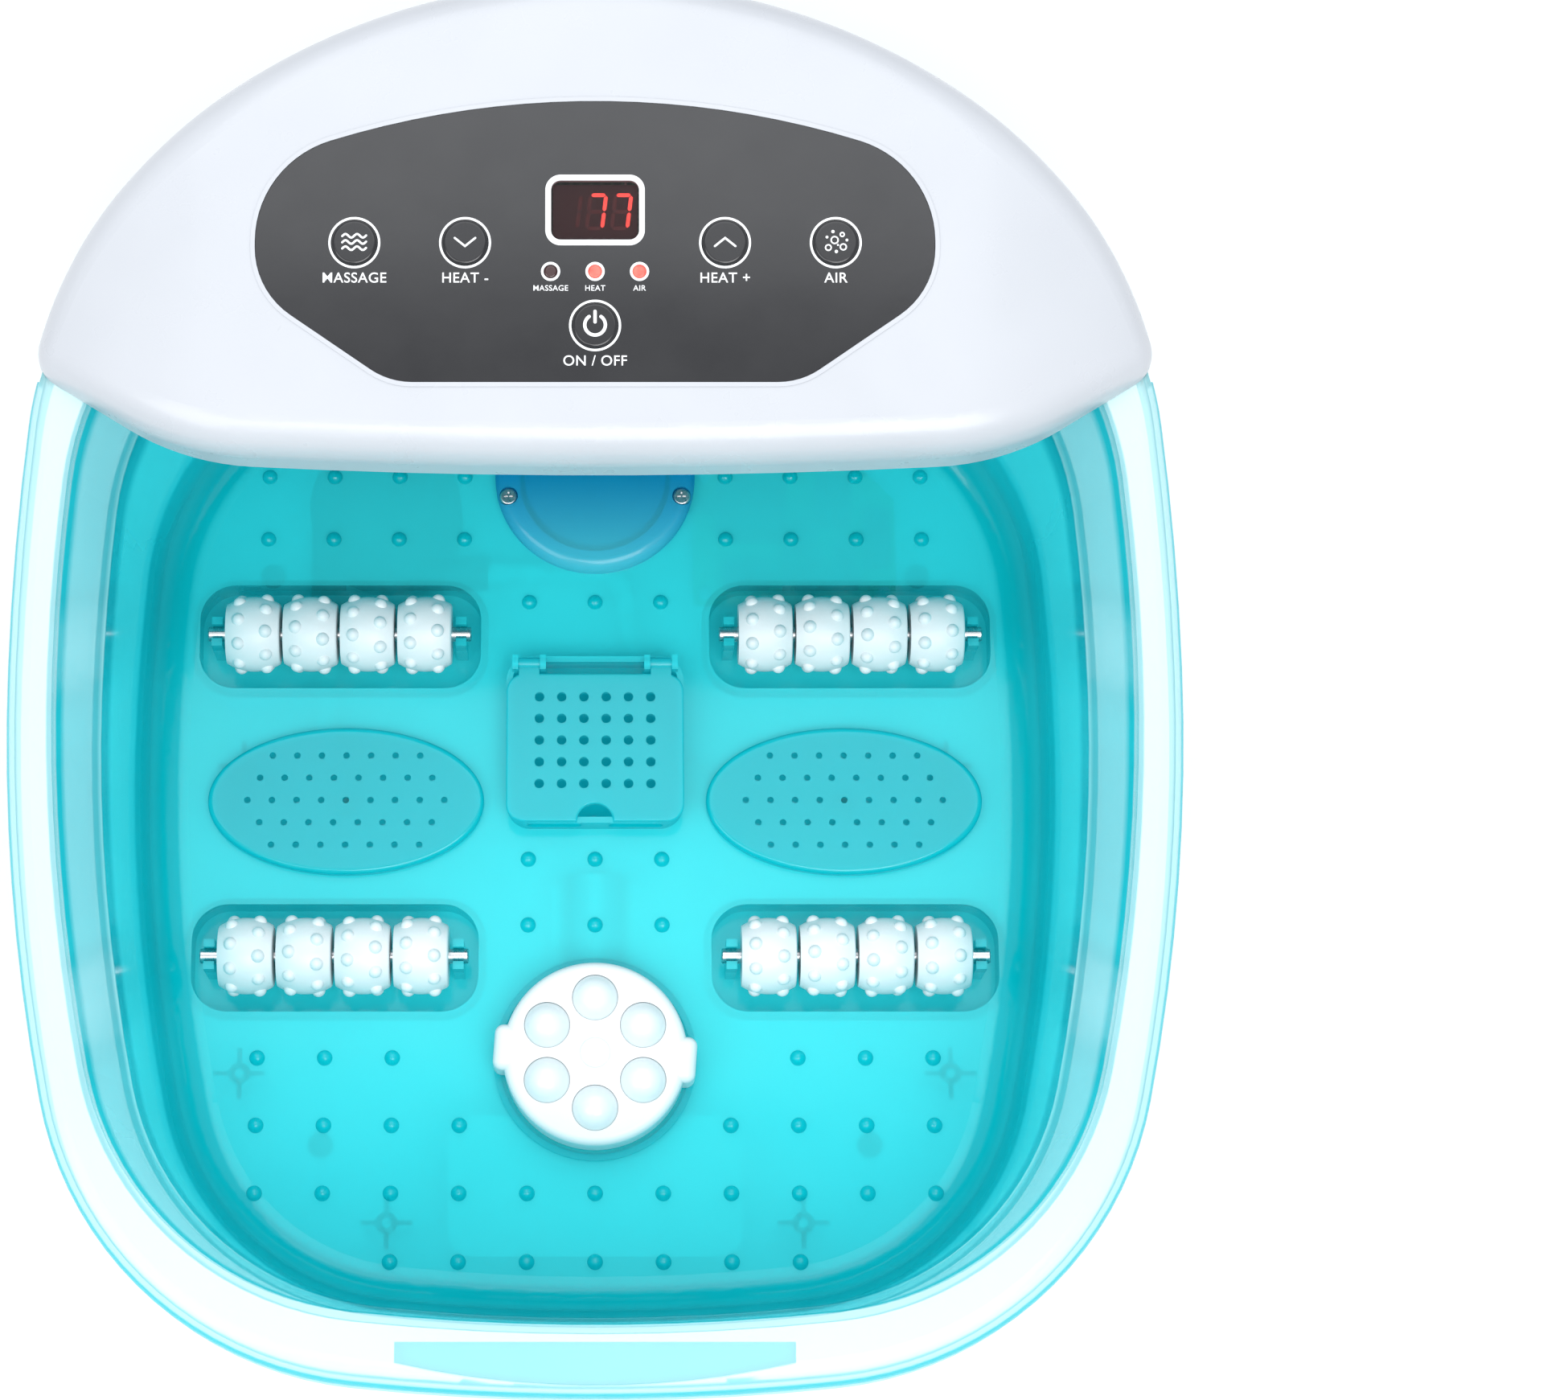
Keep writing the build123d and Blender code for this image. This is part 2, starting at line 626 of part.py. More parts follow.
def outlet_pipes(radius, reach):
    """The blower's two outlets as solid rods: one points to the front and one to the right."""
    x, y = BLOWER
    with BuildPart() as rods:
        with BuildSketch(Plane.XZ.offset(-y)):
            with Locations((x - OUTLET[0], HOSE_Z)):
                Circle(radius)
        extrude(amount=reach)
        with BuildSketch(Plane.YZ.offset(x)):
            with Locations((y - OUTLET[0], HOSE_Z)):
                Circle(radius)
        extrude(amount=reach)
    return rods.part


def make_blower_housing():
    """Round blower casing with an intake below and two outlets for the air hoses."""
    with BuildPart() as housing:
        with BuildSketch(Plane.XY.offset(BLOWER_Z)):
            with Locations(BLOWER):
                Circle(BLOWER_R)
        extrude(amount=BLOWER_HEIGHT)
        fillet(housing.edges().group_by(Axis.Z)[-1], 2)
        add(outlet_pipes(HOSE_R + 2, OUTLET[1]))
        with BuildSketch(Plane.XY.offset(BLOWER_Z + BLOWER_SKIN)):
            with Locations(BLOWER):
                Circle(BLOWER_R - BLOWER_SKIN)
        extrude(amount=BLOWER_HEIGHT - 2 * BLOWER_SKIN, mode=Mode.SUBTRACT)
        add(outlet_pipes(HOSE_R + 0.05, OUTLET[1] + 5), mode=Mode.SUBTRACT)
        with BuildSketch(Plane.XY.offset(BLOWER_Z - 1)):
            with Locations(BLOWER):
                Circle(12)
        extrude(amount=BLOWER_SKIN + 2, mode=Mode.SUBTRACT)
        # feet round the intake
        with BuildSketch(Plane.XY.offset(PAN_FLOOR_Z)):
            with Locations(BLOWER):
                with PolarLocations(BLOWER_R - 3.5, 3):
                    Circle(3)
        extrude(amount=BLOWER_Z - PAN_FLOOR_Z)
    return housing


def make_blower_motor():
    """Flat motor that hangs from the blower's lid inside the impeller's cup."""
    top = BLOWER_Z + BLOWER_HEIGHT - BLOWER_SKIN
    with BuildPart() as motor:
        with BuildSketch(Plane.XY.offset(top)):
            with Locations(BLOWER):
                Circle(10)
        extrude(amount=-8)
        with BuildSketch(Plane.XY.offset(top - 8)):
            with Locations(BLOWER):
                Circle(1.5)
        extrude(amount=-5)
    return motor


def make_blower_impeller():
    """Fan with an upturned cup over the motor and leaning blades round it."""
    top = BLOWER_Z + BLOWER_HEIGHT - BLOWER_SKIN
    bottom = BLOWER_Z + BLOWER_SKIN + 1.5
    hub_r = 12.4
    blade = 12.4
    with BuildPart() as fan:
        with BuildSketch(Plane.XY.offset(bottom)):
            with Locations(BLOWER):
                Circle(hub_r)
                Circle(1.55, mode=Mode.SUBTRACT)
        extrude(amount=top - 1 - bottom)
        with BuildSketch(Plane.XY.offset(top - 9)):
            with Locations(BLOWER):
                Circle(hub_r - 1.6)
        extrude(amount=10, mode=Mode.SUBTRACT)
        with BuildSketch(Plane.XY.offset(bottom)):
            with Locations(BLOWER):
                with PolarLocations(hub_r + 0.39 * blade, 13):
                    with Locations(Location((0, 0, 0), (0, 0, 28))):
                        Rectangle(blade, 1.2)
        extrude(amount=top - 3 - bottom)
    return fan


def make_power_board():
    """Mains circuit board on four posts."""
    with BuildPart() as board:
        with BuildSketch(Plane.XY.offset(BOARD_Z)):
            with BuildLine():
                Polyline(*BOARD_OUTLINE, close=True)
            make_face()
            with Locations(*BOARD_POSTS):
                Circle(1.6, mode=Mode.SUBTRACT)
        extrude(amount=BOARD_THICK)
    return board


def make_power_board_parts():
    """Transformer, relays, capacitors, heat sink and plugs standing on the mains board."""
    top = Plane.XY.offset(BOARD_Z + BOARD_THICK)
    with BuildPart() as parts:
        for x, y, length, width, height in BOARD_BLOCKS:
            with BuildSketch(top):
                with Locations((x, y)):
                    RectangleRounded(length, width, 1.0)
            extrude(amount=height)
        for x, y, radius, height in BOARD_CANS:
            with BuildSketch(top):
                with Locations((x, y)):
                    Circle(radius)
            extrude(amount=height)
    return parts


def hose(points, radius, bend):
    """Round hose along straight runs joined by arcs."""
    with BuildPart() as tube:
        with BuildLine() as route:
            FilletPolyline(*points, radius=bend)
        with BuildSketch(Plane(origin=route.line @ 0, z_dir=route.line % 0)):
            Circle(radius)
        sweep()
    return tube


def make_air_hoses():
    """Hoses from the blower to the inlets under the two bubble plates."""
    x, y = BLOWER
    beside, reach = OUTLET
    inlet_z = FLOOR_UNDER - 7
    left = [
        (x - beside, y - reach + 5, HOSE_Z),
        (x - beside, 16, HOSE_Z),
        (-PLATE_X, PLATE_Y, HOSE_Z),
        (-PLATE_X, PLATE_Y, inlet_z),
    ]
    right = [
        (x + reach - 5, y - beside, HOSE_Z),
        (8, y - beside, HOSE_Z),
        (22, 14, HOSE_Z),
        (52, PLATE_Y, HOSE_Z),
        (PLATE_X, PLATE_Y, HOSE_Z),
        (PLATE_X, PLATE_Y, inlet_z),
    ]
    with BuildPart() as hoses:
        add(hose(left, HOSE_R, 7).part)
        add(hose(right, HOSE_R, 7).part)
    return hoses


def make_control_harness():
    """Sleeved wires from the mains board up the duct to the control board's socket."""
    socket = HOOD_PLANE.from_local_coords(Vector(0, 17.6, CONTROL_BOARD_N - 3))
    before = HOOD_PLANE.from_local_coords(Vector(0, 42, CONTROL_BOARD_N - 3))
    under_floor = [(41.6, 98, 24), (16, 102, 24), (4, 146, 30), (0, 160, 32), (0, 170, 37)]
    up_duct = [(0, 181, 49), (0, 185.5, 75), (0, 193, 130), (0, HOOD_BACK_Y, 162), (0, HOOD_BACK_Y, 184)]
    return hose([*under_floor, *up_duct, tuple(before), tuple(socket)], HARNESS_R, 4.5)


def make_lamp_board():
    """Round board with lamps under the window in the floor."""
    with BuildPart() as board:
        with BuildSketch(Plane.XY.offset(LAMP_BOARD_Z)):
            with Locations((0, LAMP_Y)):
                Circle(LAMP_WINDOW_R - 0.4)
        extrude(amount=BOARD_THICK)
        with BuildSketch(Plane.XY.offset(LAMP_BOARD_Z + BOARD_THICK)):
            with Locations((0, LAMP_Y)):
                with PolarLocations(13, 6):
                    Circle(2.5)
        extrude(amount=3.2)
    return board


# ---------------------------------------------------------------- fittings on the basin floor
def make_lamp_cover():
    """Translucent blue dome over the lamp window, with two screw ears."""
    with BuildPart() as cover:
        with BuildSketch(Plane.XY.offset(FLOOR_Z + 0.05)):
            with Locations((0, LAMP_Y)):
                Circle(LAMP_R)
        extrude(amount=6)
        fillet(cover.edges().group_by(Axis.Z)[-1], 4)
        with BuildSketch(Plane.XY.offset(FLOOR_Z + 0.05)):
            with Locations((0, LAMP_Y)):
                Circle(24)
        extrude(amount=3.4, mode=Mode.SUBTRACT)
        with BuildSketch(Plane.XY.offset(LAMP_BOARD_Z + BOARD_THICK)):
            with Locations((0, LAMP_Y)):
                Circle(LAMP_WINDOW_R - 0.2)
                Circle(LAMP_WINDOW_R - 2.2, mode=Mode.SUBTRACT)
        extrude(amount=FLOOR_Z - LAMP_BOARD_Z)
        with Locations(*[(x, y, FLOOR_Z + 3.5) for x, y in LAMP_SCREWS]):
            Cylinder(3.2, 10, align=(Align.CENTER, Align.CENTER, Align.MIN), mode=Mode.SUBTRACT)
            Cylinder(1.5, 20, mode=Mode.SUBTRACT)
    return cover


def make_air_plate(side):
    """Oval bubble plate: a low hollow dome with rows of small air holes."""
    with BuildPart() as plate:
        with BuildSketch(Plane.XY.offset(FLOOR_Z + 0.05)):
            with Locations((side * PLATE_X, PLATE_Y)):
                Ellipse(PLATE_SIZE[0] / 2, PLATE_SIZE[1] / 2)
        extrude(amount=4.2)
        fillet(plate.edges().group_by(Axis.Z)[-1], 1.6)
        with BuildSketch(Plane.XY.offset(FLOOR_Z)):
            with Locations((side * PLATE_X, PLATE_Y)):
                Ellipse(PLATE_SIZE[0] / 2 - 3, PLATE_SIZE[1] / 2 - 3)
        extrude(amount=2.4, mode=Mode.SUBTRACT)
        with BuildSketch(Plane.XY.offset(FLOOR_Z + 1)):
            with Locations((side * PLATE_X, PLATE_Y)):
                for row in range(-2, 3):
                    count = 9 - 2 * abs(row) // 2
                    with Locations((0, row * 7.6)):
                        with GridLocations(8.2, 0, count, 1):
                            Circle(1.1)
        extrude(amount=6, mode=Mode.SUBTRACT)
    return plate


def make_roller_axle(x, y):
    """Steel axle in its two cradles."""
    with BuildPart() as axle:
        with BuildSketch(Plane.YZ.offset(x - AXLE_LENGTH / 2 + 0.2)):
            with Locations((y, ROLLER_AXIS_Z)):
                Circle(AXLE_R)
        extrude(amount=AXLE_LENGTH - 0.4)
        chamfer(axle.edges().filter_by(GeomType.CIRCLE), 0.4)
    return axle


def roller_wheel():
    """One barrel-shaped wheel with two rows of massage nubs, its axis along X at the origin."""
    half = WHEEL_WIDTH / 2
    reach = WHEEL_R - 1.4
    with BuildPart() as wheel:
        with BuildSketch(Plane.XY):
            with BuildLine():
                crown = ThreePointArc((-half, WHEEL_R - 2.6), (0, WHEEL_R), (half, WHEEL_R - 2.6))
                Polyline(crown @ 1, (half, AXLE_R + 0.05), (-half, AXLE_R + 0.05), crown @ 0)
            make_face()
        revolve(axis=Axis.X)
        fillet(wheel.edges().filter_by(GeomType.CIRCLE).sort_by(lambda e: -e.radius)[:2], 1.2)
        for offset, lead in ((-4.4, 0), (4.4, 20)):
            turns = [radians(lead + 40 * k) for k in range(9)]
            with Locations(*[(offset, reach * cos(turn), reach * sin(turn)) for turn in turns]):
                Sphere(2.3)
    return wheel.part


def make_roller(x, y, wheel):
    """The row of wheels on one axle."""
    pitch = WHEEL_WIDTH + WHEEL_GAP
    with BuildPart() as roller:
        for k in range(WHEEL_COUNT):
            offset = (k - (WHEEL_COUNT - 1) / 2) * pitch
            with Locations(Location((x + offset, y, ROLLER_AXIS_Z), (13 * k, 0, 0))):
                add(wheel)
    return roller


def head_balls():
    """Places of the massage balls round the head."""
    turns = [radians(90 + 60 * k) for k in range(6)]
    return [(BALL_RING * cos(turn), HEAD_Y + BALL_RING * sin(turn)) for turn in turns]


def make_massage_disc():
    """Round massage head with six ball sockets, two grip ears and a central dimple."""
    with BuildPart() as disc:
        with BuildSketch(Plane.XY.offset(HEAD_BOTTOM)):
            with Locations((0, HEAD_Y)):
                Circle(HEAD_R)
                with PolarLocations(HEAD_R - 1.5, 2, start_angle=-4):
                    RectangleRounded(9, 15, 3)
        extrude(amount=HEAD_TOP - HEAD_BOTTOM)
        fillet(disc.edges().group_by(Axis.Z)[-1], 3)
        with BuildSketch(Plane.XY.offset(HEAD_BOTTOM)):
            with Locations((0, HEAD_Y)):
                Circle(HEAD_PLATE[0] + 0.1)
        extrude(amount=HEAD_PLATE[1] + 0.1, mode=Mode.SUBTRACT)
        with Locations(*[(x, y, BALL_Z) for x, y in head_balls()]):
            Sphere(BALL_R + 0.2, mode=Mode.SUBTRACT)
        with Locations((0, HEAD_Y, HEAD_TOP)):
            Cylinder(5, 1.6, mode=Mode.SUBTRACT)
        with Locations((0, HEAD_Y, HEAD_BOTTOM + HEAD_PLATE[1] + 0.1)):
            with PolarLocations(HEAD_SCREW_RING, 3):
                Cylinder(1.3, 8, align=(Align.CENTER, Align.CENTER, Align.MIN), mode=Mode.SUBTRACT)
    return disc


def make_massage_disc_back():
    """Plate that closes the head from below, with the peg that sits in the basin's socket."""
    with BuildPart() as back:
        with BuildSketch(Plane.XY.offset(HEAD_BOTTOM)):
            with Locations((0, HEAD_Y)):
                Circle(HEAD_PLATE[0])
                with PolarLocations(HEAD_SCREW_RING, 3):
                    Circle(1.5, mode=Mode.SUBTRACT)
        extrude(amount=HEAD_PLATE[1])
        with BuildSketch(Plane.XY.offset(HEAD_BOTTOM)):
            with Locations((0, HEAD_Y)):
                with PolarLocations(HEAD_SCREW_RING, 3):
                    Circle(2.5)
        extrude(amount=1.2, mode=Mode.SUBTRACT)
        with BuildSketch(Plane.XY.offset(HEAD_BOTTOM)):
            with Locations((0, HEAD_Y)):
                Circle(SOCKET_R - 0.05)
        extrude(amount=-7.6)
        chamfer(back.edges().group_by(Axis.Z)[0], 0.8)
    return back


def make_herb_box():
    """Open tray for herbs or bath salt, with side windows and hinge cheeks at its rear."""
    length, width = BOX_SIZE
    with BuildPart() as box:
        with BuildSketch(Plane.XY.offset(FLOOR_Z + 0.05)):
            with Locations((0, BOX_Y)):
                RectangleRounded(length, width, 8)
        extrude(amount=BOX_HEIGHT)
        with BuildSketch(Plane.XY.offset(FLOOR_Z + 2)):
            with Locations((0, BOX_Y)):
                RectangleRounded(length - 4, width - 4, 6)
        extrude(amount=BOX_HEIGHT, mode=Mode.SUBTRACT)
        with BuildSketch(Plane.XZ.offset(-BOX_Y)):
            with Locations((-13.5, FLOOR_Z + 5.8), (13.5, FLOOR_Z + 5.8)):
                RectangleRounded(18, 5, 2.4)
        extrude(amount=40, mode=Mode.SUBTRACT)
        # hinge cheeks with a slot for each knuckle and a hole for its pin
        with BuildSketch(Plane.XY.offset(FLOOR_Z + BOX_HEIGHT - 4)):
            with Locations((-BOX_HINGE_X, BOX_HINGE_Y), (BOX_HINGE_X, BOX_HINGE_Y)):
                with Locations((-4.6, 0), (4.6, 0)):
                    Rectangle(2, 5)
        extrude(amount=8)
        with BuildSketch(Plane.XY.offset(BOX_HINGE_Z - 2.4)):
            with Locations((-BOX_HINGE_X, BOX_HINGE_Y), (BOX_HINGE_X, BOX_HINGE_Y)):
                Rectangle(KNUCKLE + 0.4, 5)
        extrude(amount=6, mode=Mode.SUBTRACT)
        with BuildSketch(Plane.YZ.offset(-40)):
            with Locations((BOX_HINGE_Y, BOX_HINGE_Z)):
                Circle(PIN_R + 0.05)
        extrude(amount=80, mode=Mode.SUBTRACT)
    return box


def make_herb_lid():
    """Perforated lid that turns up about two pins at its rear edge."""
    length, width = BOX_SIZE
    with BuildPart() as lid:
        with BuildSketch(Plane.XY.offset(BOX_LID_Z)):
            with Locations((0, BOX_Y - 3.3)):
                RectangleRounded(length, width - 6.6, 6)
            with Locations((0, BOX_Y - width / 2)):
                Circle(6, mode=Mode.SUBTRACT)
        extrude(amount=LID_THICK)
        fillet(lid.edges().group_by(Axis.Z)[-1], 0.7)
        with BuildSketch(Plane.XY.offset(BOX_LID_Z - 1)):
            with Locations((0, BOX_Y - 1)):
                with GridLocations(7.4, 7.4, 6, 5):
                    Circle(1.6)
        extrude(amount=6, mode=Mode.SUBTRACT)
        # hinge knuckles and pins
        with BuildSketch(Plane.XY.offset(BOX_LID_Z)):
            with Locations((-BOX_HINGE_X, BOX_HINGE_Y - 2.6), (BOX_HINGE_X, BOX_HINGE_Y - 2.6)):
                Rectangle(KNUCKLE, 5)
        extrude(amount=LID_THICK)
        for x in (-BOX_HINGE_X, BOX_HINGE_X):
            for radius, length in ((2.0, KNUCKLE), (PIN_R, KNUCKLE + 4)):
                with BuildSketch(Plane.YZ.offset(x - length / 2)):
                    with Locations((BOX_HINGE_Y, BOX_HINGE_Z)):
                        Circle(radius)
                extrude(amount=length)
    return lid


# ---------------------------------------------------------------- control hood
def panel_sketch(outset=0.0):
    """The control panel's outline, moved `outset` outwards."""
    half, top, bottom = PANEL_SIZE
    corner_y = top - PANEL_CROWN_R + (PANEL_CROWN_R**2 - half**2) ** 0.5
    side_y = -14.3
    with BuildSketch() as face:
        with BuildLine():
            ThreePointArc((-half, corner_y), (0, top), (half, corner_y))
            Polyline(
                (half, corner_y),
                (half, side_y),
                (PANEL_FOOT, bottom),
                (-PANEL_FOOT, bottom),
                (-half, side_y),
                (-half, corner_y),
            )
        make_face()
        fillet(face.vertices().filter_by(lambda v: v.Y > 0), 32)
        fillet(face.vertices().filter_by(lambda v: side_y - 1 < v.Y < 0), 25)
        fillet(face.vertices().filter_by(lambda v: v.Y < bottom + 1), 22)
        if outset:
            offset(amount=outset)
    return face.sketch


def hood_solid(inset):
    """The hood's filled shape, `inset` inside its skin."""
    with BuildPart() as solid:
        with BuildSketch(Plane.XY.offset(RIM_TOP - RIM_DROP)):
            plan_face(RIM, HOOD_OVERHANG - inset)
            hood_front(inset)
        extrude(amount=90)
        fillet(solid.edges().filter_by(Axis.Z).filter_by(is_hood_corner), HOOD_CORNER - inset)
        with BuildSketch(Plane(origin=HOOD_ORIGIN, x_dir=(1, 0, 0), z_dir=-HOOD_PLANE.y_dir)):
            with BuildLine():
                flat = Line((0, -inset), (HOOD_FLAT, -inset))
                fall = JernArc(flat @ 1, (1, 0), HOOD_SHOULDER - inset, -50)
                Polyline(fall @ 1, (260, (fall @ 1).Y), (260, 90), (0, 90))
                mirror(about=Plane.YZ)
            make_face()
        extrude(amount=200, both=True, mode=Mode.SUBTRACT)
        fillet(solid.edges().filter_by(is_hood_crest), HOOD_EDGE - inset)
    return solid.part


def is_hood_corner(edge):
    """True for the upright edges where the hood's front meets its sides."""
    return abs(edge.center().X) > 160 and edge.center().Y < 110


def is_hood_crest(edge):
    """True for the edges between the hood's top and its upright walls."""
    walls = [abs(edge.tangent_at(share).Z) < 0.75 for share in (0.1, 0.5, 0.9)]
    middle = edge @ 0.5
    inner = abs(middle.X) < HOOD_FLAT + 1 and abs(edge.tangent_at(0.5).Y) > 0.9
    return middle.Z > 160 and all(walls) and not inner


def make_hood_cover():
    """White control hood: a shell with a skirt round the rim and a recess for the panel."""
    with BuildPart() as hood:
        add(hood_solid(0))
        add(hood_solid(HOOD_WALL), mode=Mode.SUBTRACT)
        with BuildSketch(Plane.XY.offset(RIM_TOP - RIM_DROP - 1)):
            plan_face(RIM, HOOD_OVERHANG - HOOD_WALL)
        extrude(amount=RIM_DROP + 1.3, mode=Mode.SUBTRACT)
        with BuildSketch(HOOD_PLANE.offset(-5)):
            add(panel_sketch(3.0))
        extrude(amount=4)
        with BuildSketch(HOOD_PLANE.offset(-0.5)):
            add(panel_sketch(1.5))
        extrude(amount=0.9)
        with BuildSketch(HOOD_PLANE.offset(-PANEL_THICK)):
            add(panel_sketch(0.15))
        extrude(amount=6, mode=Mode.SUBTRACT)
        with BuildSketch(HOOD_PLANE.offset(-8)):
            add(panel_sketch(-4.0))
        extrude(amount=9, mode=Mode.SUBTRACT)
        # screw posts
        with BuildSketch(Plane.XY.offset(HOOD_BASE_Z + 2.6)):
            with Locations(*both_sides(HOOD_SCREWS)):
                Circle(4)
        extrude(until=Until.NEXT)
        with Locations(*[(x, y, HOOD_BASE_Z) for x, y in both_sides(HOOD_SCREWS)]):
            Cylinder(
                1.55,
                13.5,
                align=(Align.CENTER, Align.CENTER, Align.MIN),
                mode=Mode.SUBTRACT,
            )
    return hood


def make_hood_base():
    """Plate that closes the hood from below over the water."""
    with BuildPart() as base:
        add(hood_solid(HOOD_WALL + 0.3))
        with BuildSketch(Plane.XY.offset(HOOD_BASE_Z)):
            Rectangle(500, 700)
        extrude(amount=2.5, mode=Mode.INTERSECT)
        with Locations(*[(x, y, RIM_TOP) for x, y in both_sides(HOOD_SCREWS)]):
            Cylinder(2.0, 10, mode=Mode.SUBTRACT)
        with BuildSketch(Plane.XY.offset(RIM_TOP)):
            with Locations((0, HOOD_BACK_Y)):
                SlotOverall(24, 9)
        extrude(amount=5, mode=Mode.SUBTRACT)
    return base


def make_control_panel():
    """Gloss panel with holes for the keys, display and indicators, and posts for its board."""
    with BuildPart() as panel:
        with BuildSketch(HOOD_PLANE.offset(-PANEL_THICK)):
            add(panel_sketch())
            with Locations(*BUTTONS.values()):
                Circle(RING_R[1] + 0.05, mode=Mode.SUBTRACT)
            add(display_outline(0.05), mode=Mode.SUBTRACT)
            with Locations(*[(x, LED_Y) for x in LED_X]):
                Circle(LED_RING_R[1] + 0.05, mode=Mode.SUBTRACT)
        extrude(amount=PANEL_THICK)
        with BuildSketch(HOOD_PLANE.offset(CONTROL_BOARD_TOP)):
            with Locations(*both_sides(CONTROL_POSTS)):
                Circle(3.4)
        extrude(amount=-CONTROL_BOARD_TOP - PANEL_THICK)
        with BuildSketch(HOOD_PLANE.offset(CONTROL_BOARD_N)):
            with Locations(*both_sides(CONTROL_POSTS)):
                Circle(1.3)
        extrude(amount=8, mode=Mode.SUBTRACT)
    return panel


def make_panel_rings():
    """Thin white rings round the keys and the indicator lamps."""
    with BuildPart() as rings:
        with BuildSketch(HOOD_PLANE.offset(-PANEL_THICK)):
            with Locations(*BUTTONS.values()):
                Circle(RING_R[1])
                Circle(RING_R[0], mode=Mode.SUBTRACT)
            with Locations(*[(x, LED_Y) for x in LED_X]):
                Circle(LED_RING_R[1])
                Circle(LED_RING_R[0], mode=Mode.SUBTRACT)
        extrude(amount=PANEL_THICK + 0.4)
    return rings


def make_button(x, y):
    """Round key with a domed cap, a flange that holds it under the panel, and a stem."""
    flange_r, flange_n, flange_thick = BUTTON_FLANGE
    with BuildPart() as key:
        with BuildSketch(HOOD_PLANE.offset(flange_n)):
            with Locations((x, y)):
                Circle(BUTTON_R)
        extrude(amount=BUTTON_TOP - flange_n)
        fillet(key.faces().sort_by(Axis(HOOD_ORIGIN, HOOD_PLANE.z_dir))[-1].edges(), 1.1)
        with BuildSketch(HOOD_PLANE.offset(flange_n)):
            with Locations((x, y)):
                Circle(flange_r)
        extrude(amount=flange_thick)
        with BuildSketch(HOOD_PLANE.offset(flange_n - 2.1)):
            with Locations((x, y)):
                Circle(2.2)
        extrude(amount=2.4)
    return key


def display_outline(outset):
    """The display frame's outline, moved `outset` outwards."""
    length, width = DISPLAY_SIZE
    with BuildSketch() as face:
        with Locations(DISPLAY):
            RectangleRounded(length + 2 * outset, width + 2 * outset, DISPLAY_CORNER + outset)
    return face.sketch


def make_display_bezel():
    """White rounded frame round the display."""
    with BuildPart() as bezel:
        with BuildSketch(HOOD_PLANE.offset(-PANEL_THICK)):
            add(display_outline(0))
            add(display_outline(-BEZEL_WIDTH), mode=Mode.SUBTRACT)
        extrude(amount=PANEL_THICK + 0.5)
    return bezel


def make_display_window():
    """Smoked window inside the display's frame."""
    with BuildPart() as window:
        with BuildSketch(HOOD_PLANE.offset(-1.6)):
            add(display_outline(-BEZEL_WIDTH - 0.05))
        extrude(amount=1.4)
    return window


def make_display_module():
    """Three-digit display block between the control board and its window."""
    with BuildPart() as module:
        with BuildSketch(HOOD_PLANE.offset(CONTROL_BOARD_TOP)):
            with Locations(DISPLAY):
                Rectangle(25.6, 16.4)
        extrude(amount=9.9)
    return module


def make_indicator(x):
    """Lamp with a domed light guide that stands on the control board."""
    with BuildPart() as lamp:
        with BuildSketch(HOOD_PLANE.offset(CONTROL_BOARD_TOP)):
            with Locations((x, LED_Y)):
                Circle(LED_R)
        extrude(amount=-CONTROL_BOARD_TOP + 0.3)
        fillet(lamp.faces().sort_by(Axis(HOOD_ORIGIN, HOOD_PLANE.z_dir))[-1].edges(), 0.8)
    return lamp


def make_control_board():
    """Circuit board under the panel, with the harness socket on its underside."""
    with BuildPart() as board:
        with BuildSketch(HOOD_PLANE.offset(CONTROL_BOARD_N)):
            with Locations((0, -3)):
                RectangleRounded(*CONTROL_BOARD, 4)
            with Locations(*both_sides(CONTROL_POSTS)):
                Circle(1.6, mode=Mode.SUBTRACT)
        extrude(amount=CONTROL_BOARD_TOP - CONTROL_BOARD_N)
        with BuildSketch(HOOD_PLANE.offset(CONTROL_BOARD_N)):
            with Locations((0, 13)):
                Rectangle(18, 9)
        extrude(amount=-6)
    return board


def make_tact_switches():
    """A small push switch under each key."""
    with BuildPart() as switches:
        with BuildSketch(HOOD_PLANE.offset(CONTROL_BOARD_TOP)):
            with Locations(*BUTTONS.values()):
                Rectangle(6.2, 6.2)
        extrude(amount=3.4)
        with BuildSketch(HOOD_PLANE.offset(CONTROL_BOARD_TOP + 3.4)):
            with Locations(*BUTTONS.values()):
                Circle(1.75)
        extrude(amount=0.5)
    return switches


def make_control_screws():
    """Screws that hold the control board to the panel's posts."""
    shape = screw(1.25, 7.0, 2.6, 1.6)
    with BuildPart(HOOD_PLANE) as group:
        with Locations(*[(x, y, CONTROL_BOARD_N) for x, y in both_sides(CONTROL_POSTS)]):
            add(shape)
    return group


def save_hood():
    """Writes every piece of the control hood."""
    save(make_hood_cover(), "hood_cover")
    save(make_hood_base(), "hood_base")
    rim_under = RIM_TOP - WALL
    hood_screw = screw(1.5, 15.5, 2.8, 2.2)
    save(screw_group([(x, y, rim_under) for x, y in both_sides(HOOD_SCREWS)], hood_screw), "hood_screws")
    save(make_control_panel(), "control_panel")
    save(make_panel_rings(), "panel_rings")
    for name, (x, y) in BUTTONS.items():
        save(make_button(x, y), name)
    save(make_display_bezel(), "display_bezel")
    save(make_display_window(), "display_window")
    save(make_display_module(), "display_module")
    for name, x in zip(("left", "middle", "right"), LED_X):
        save(make_indicator(x), f"indicator_{name}")
    save(make_control_board(), "control_board")
    save(make_tact_switches(), "tact_switches")
    save(make_control_screws(), "control_board_screws")


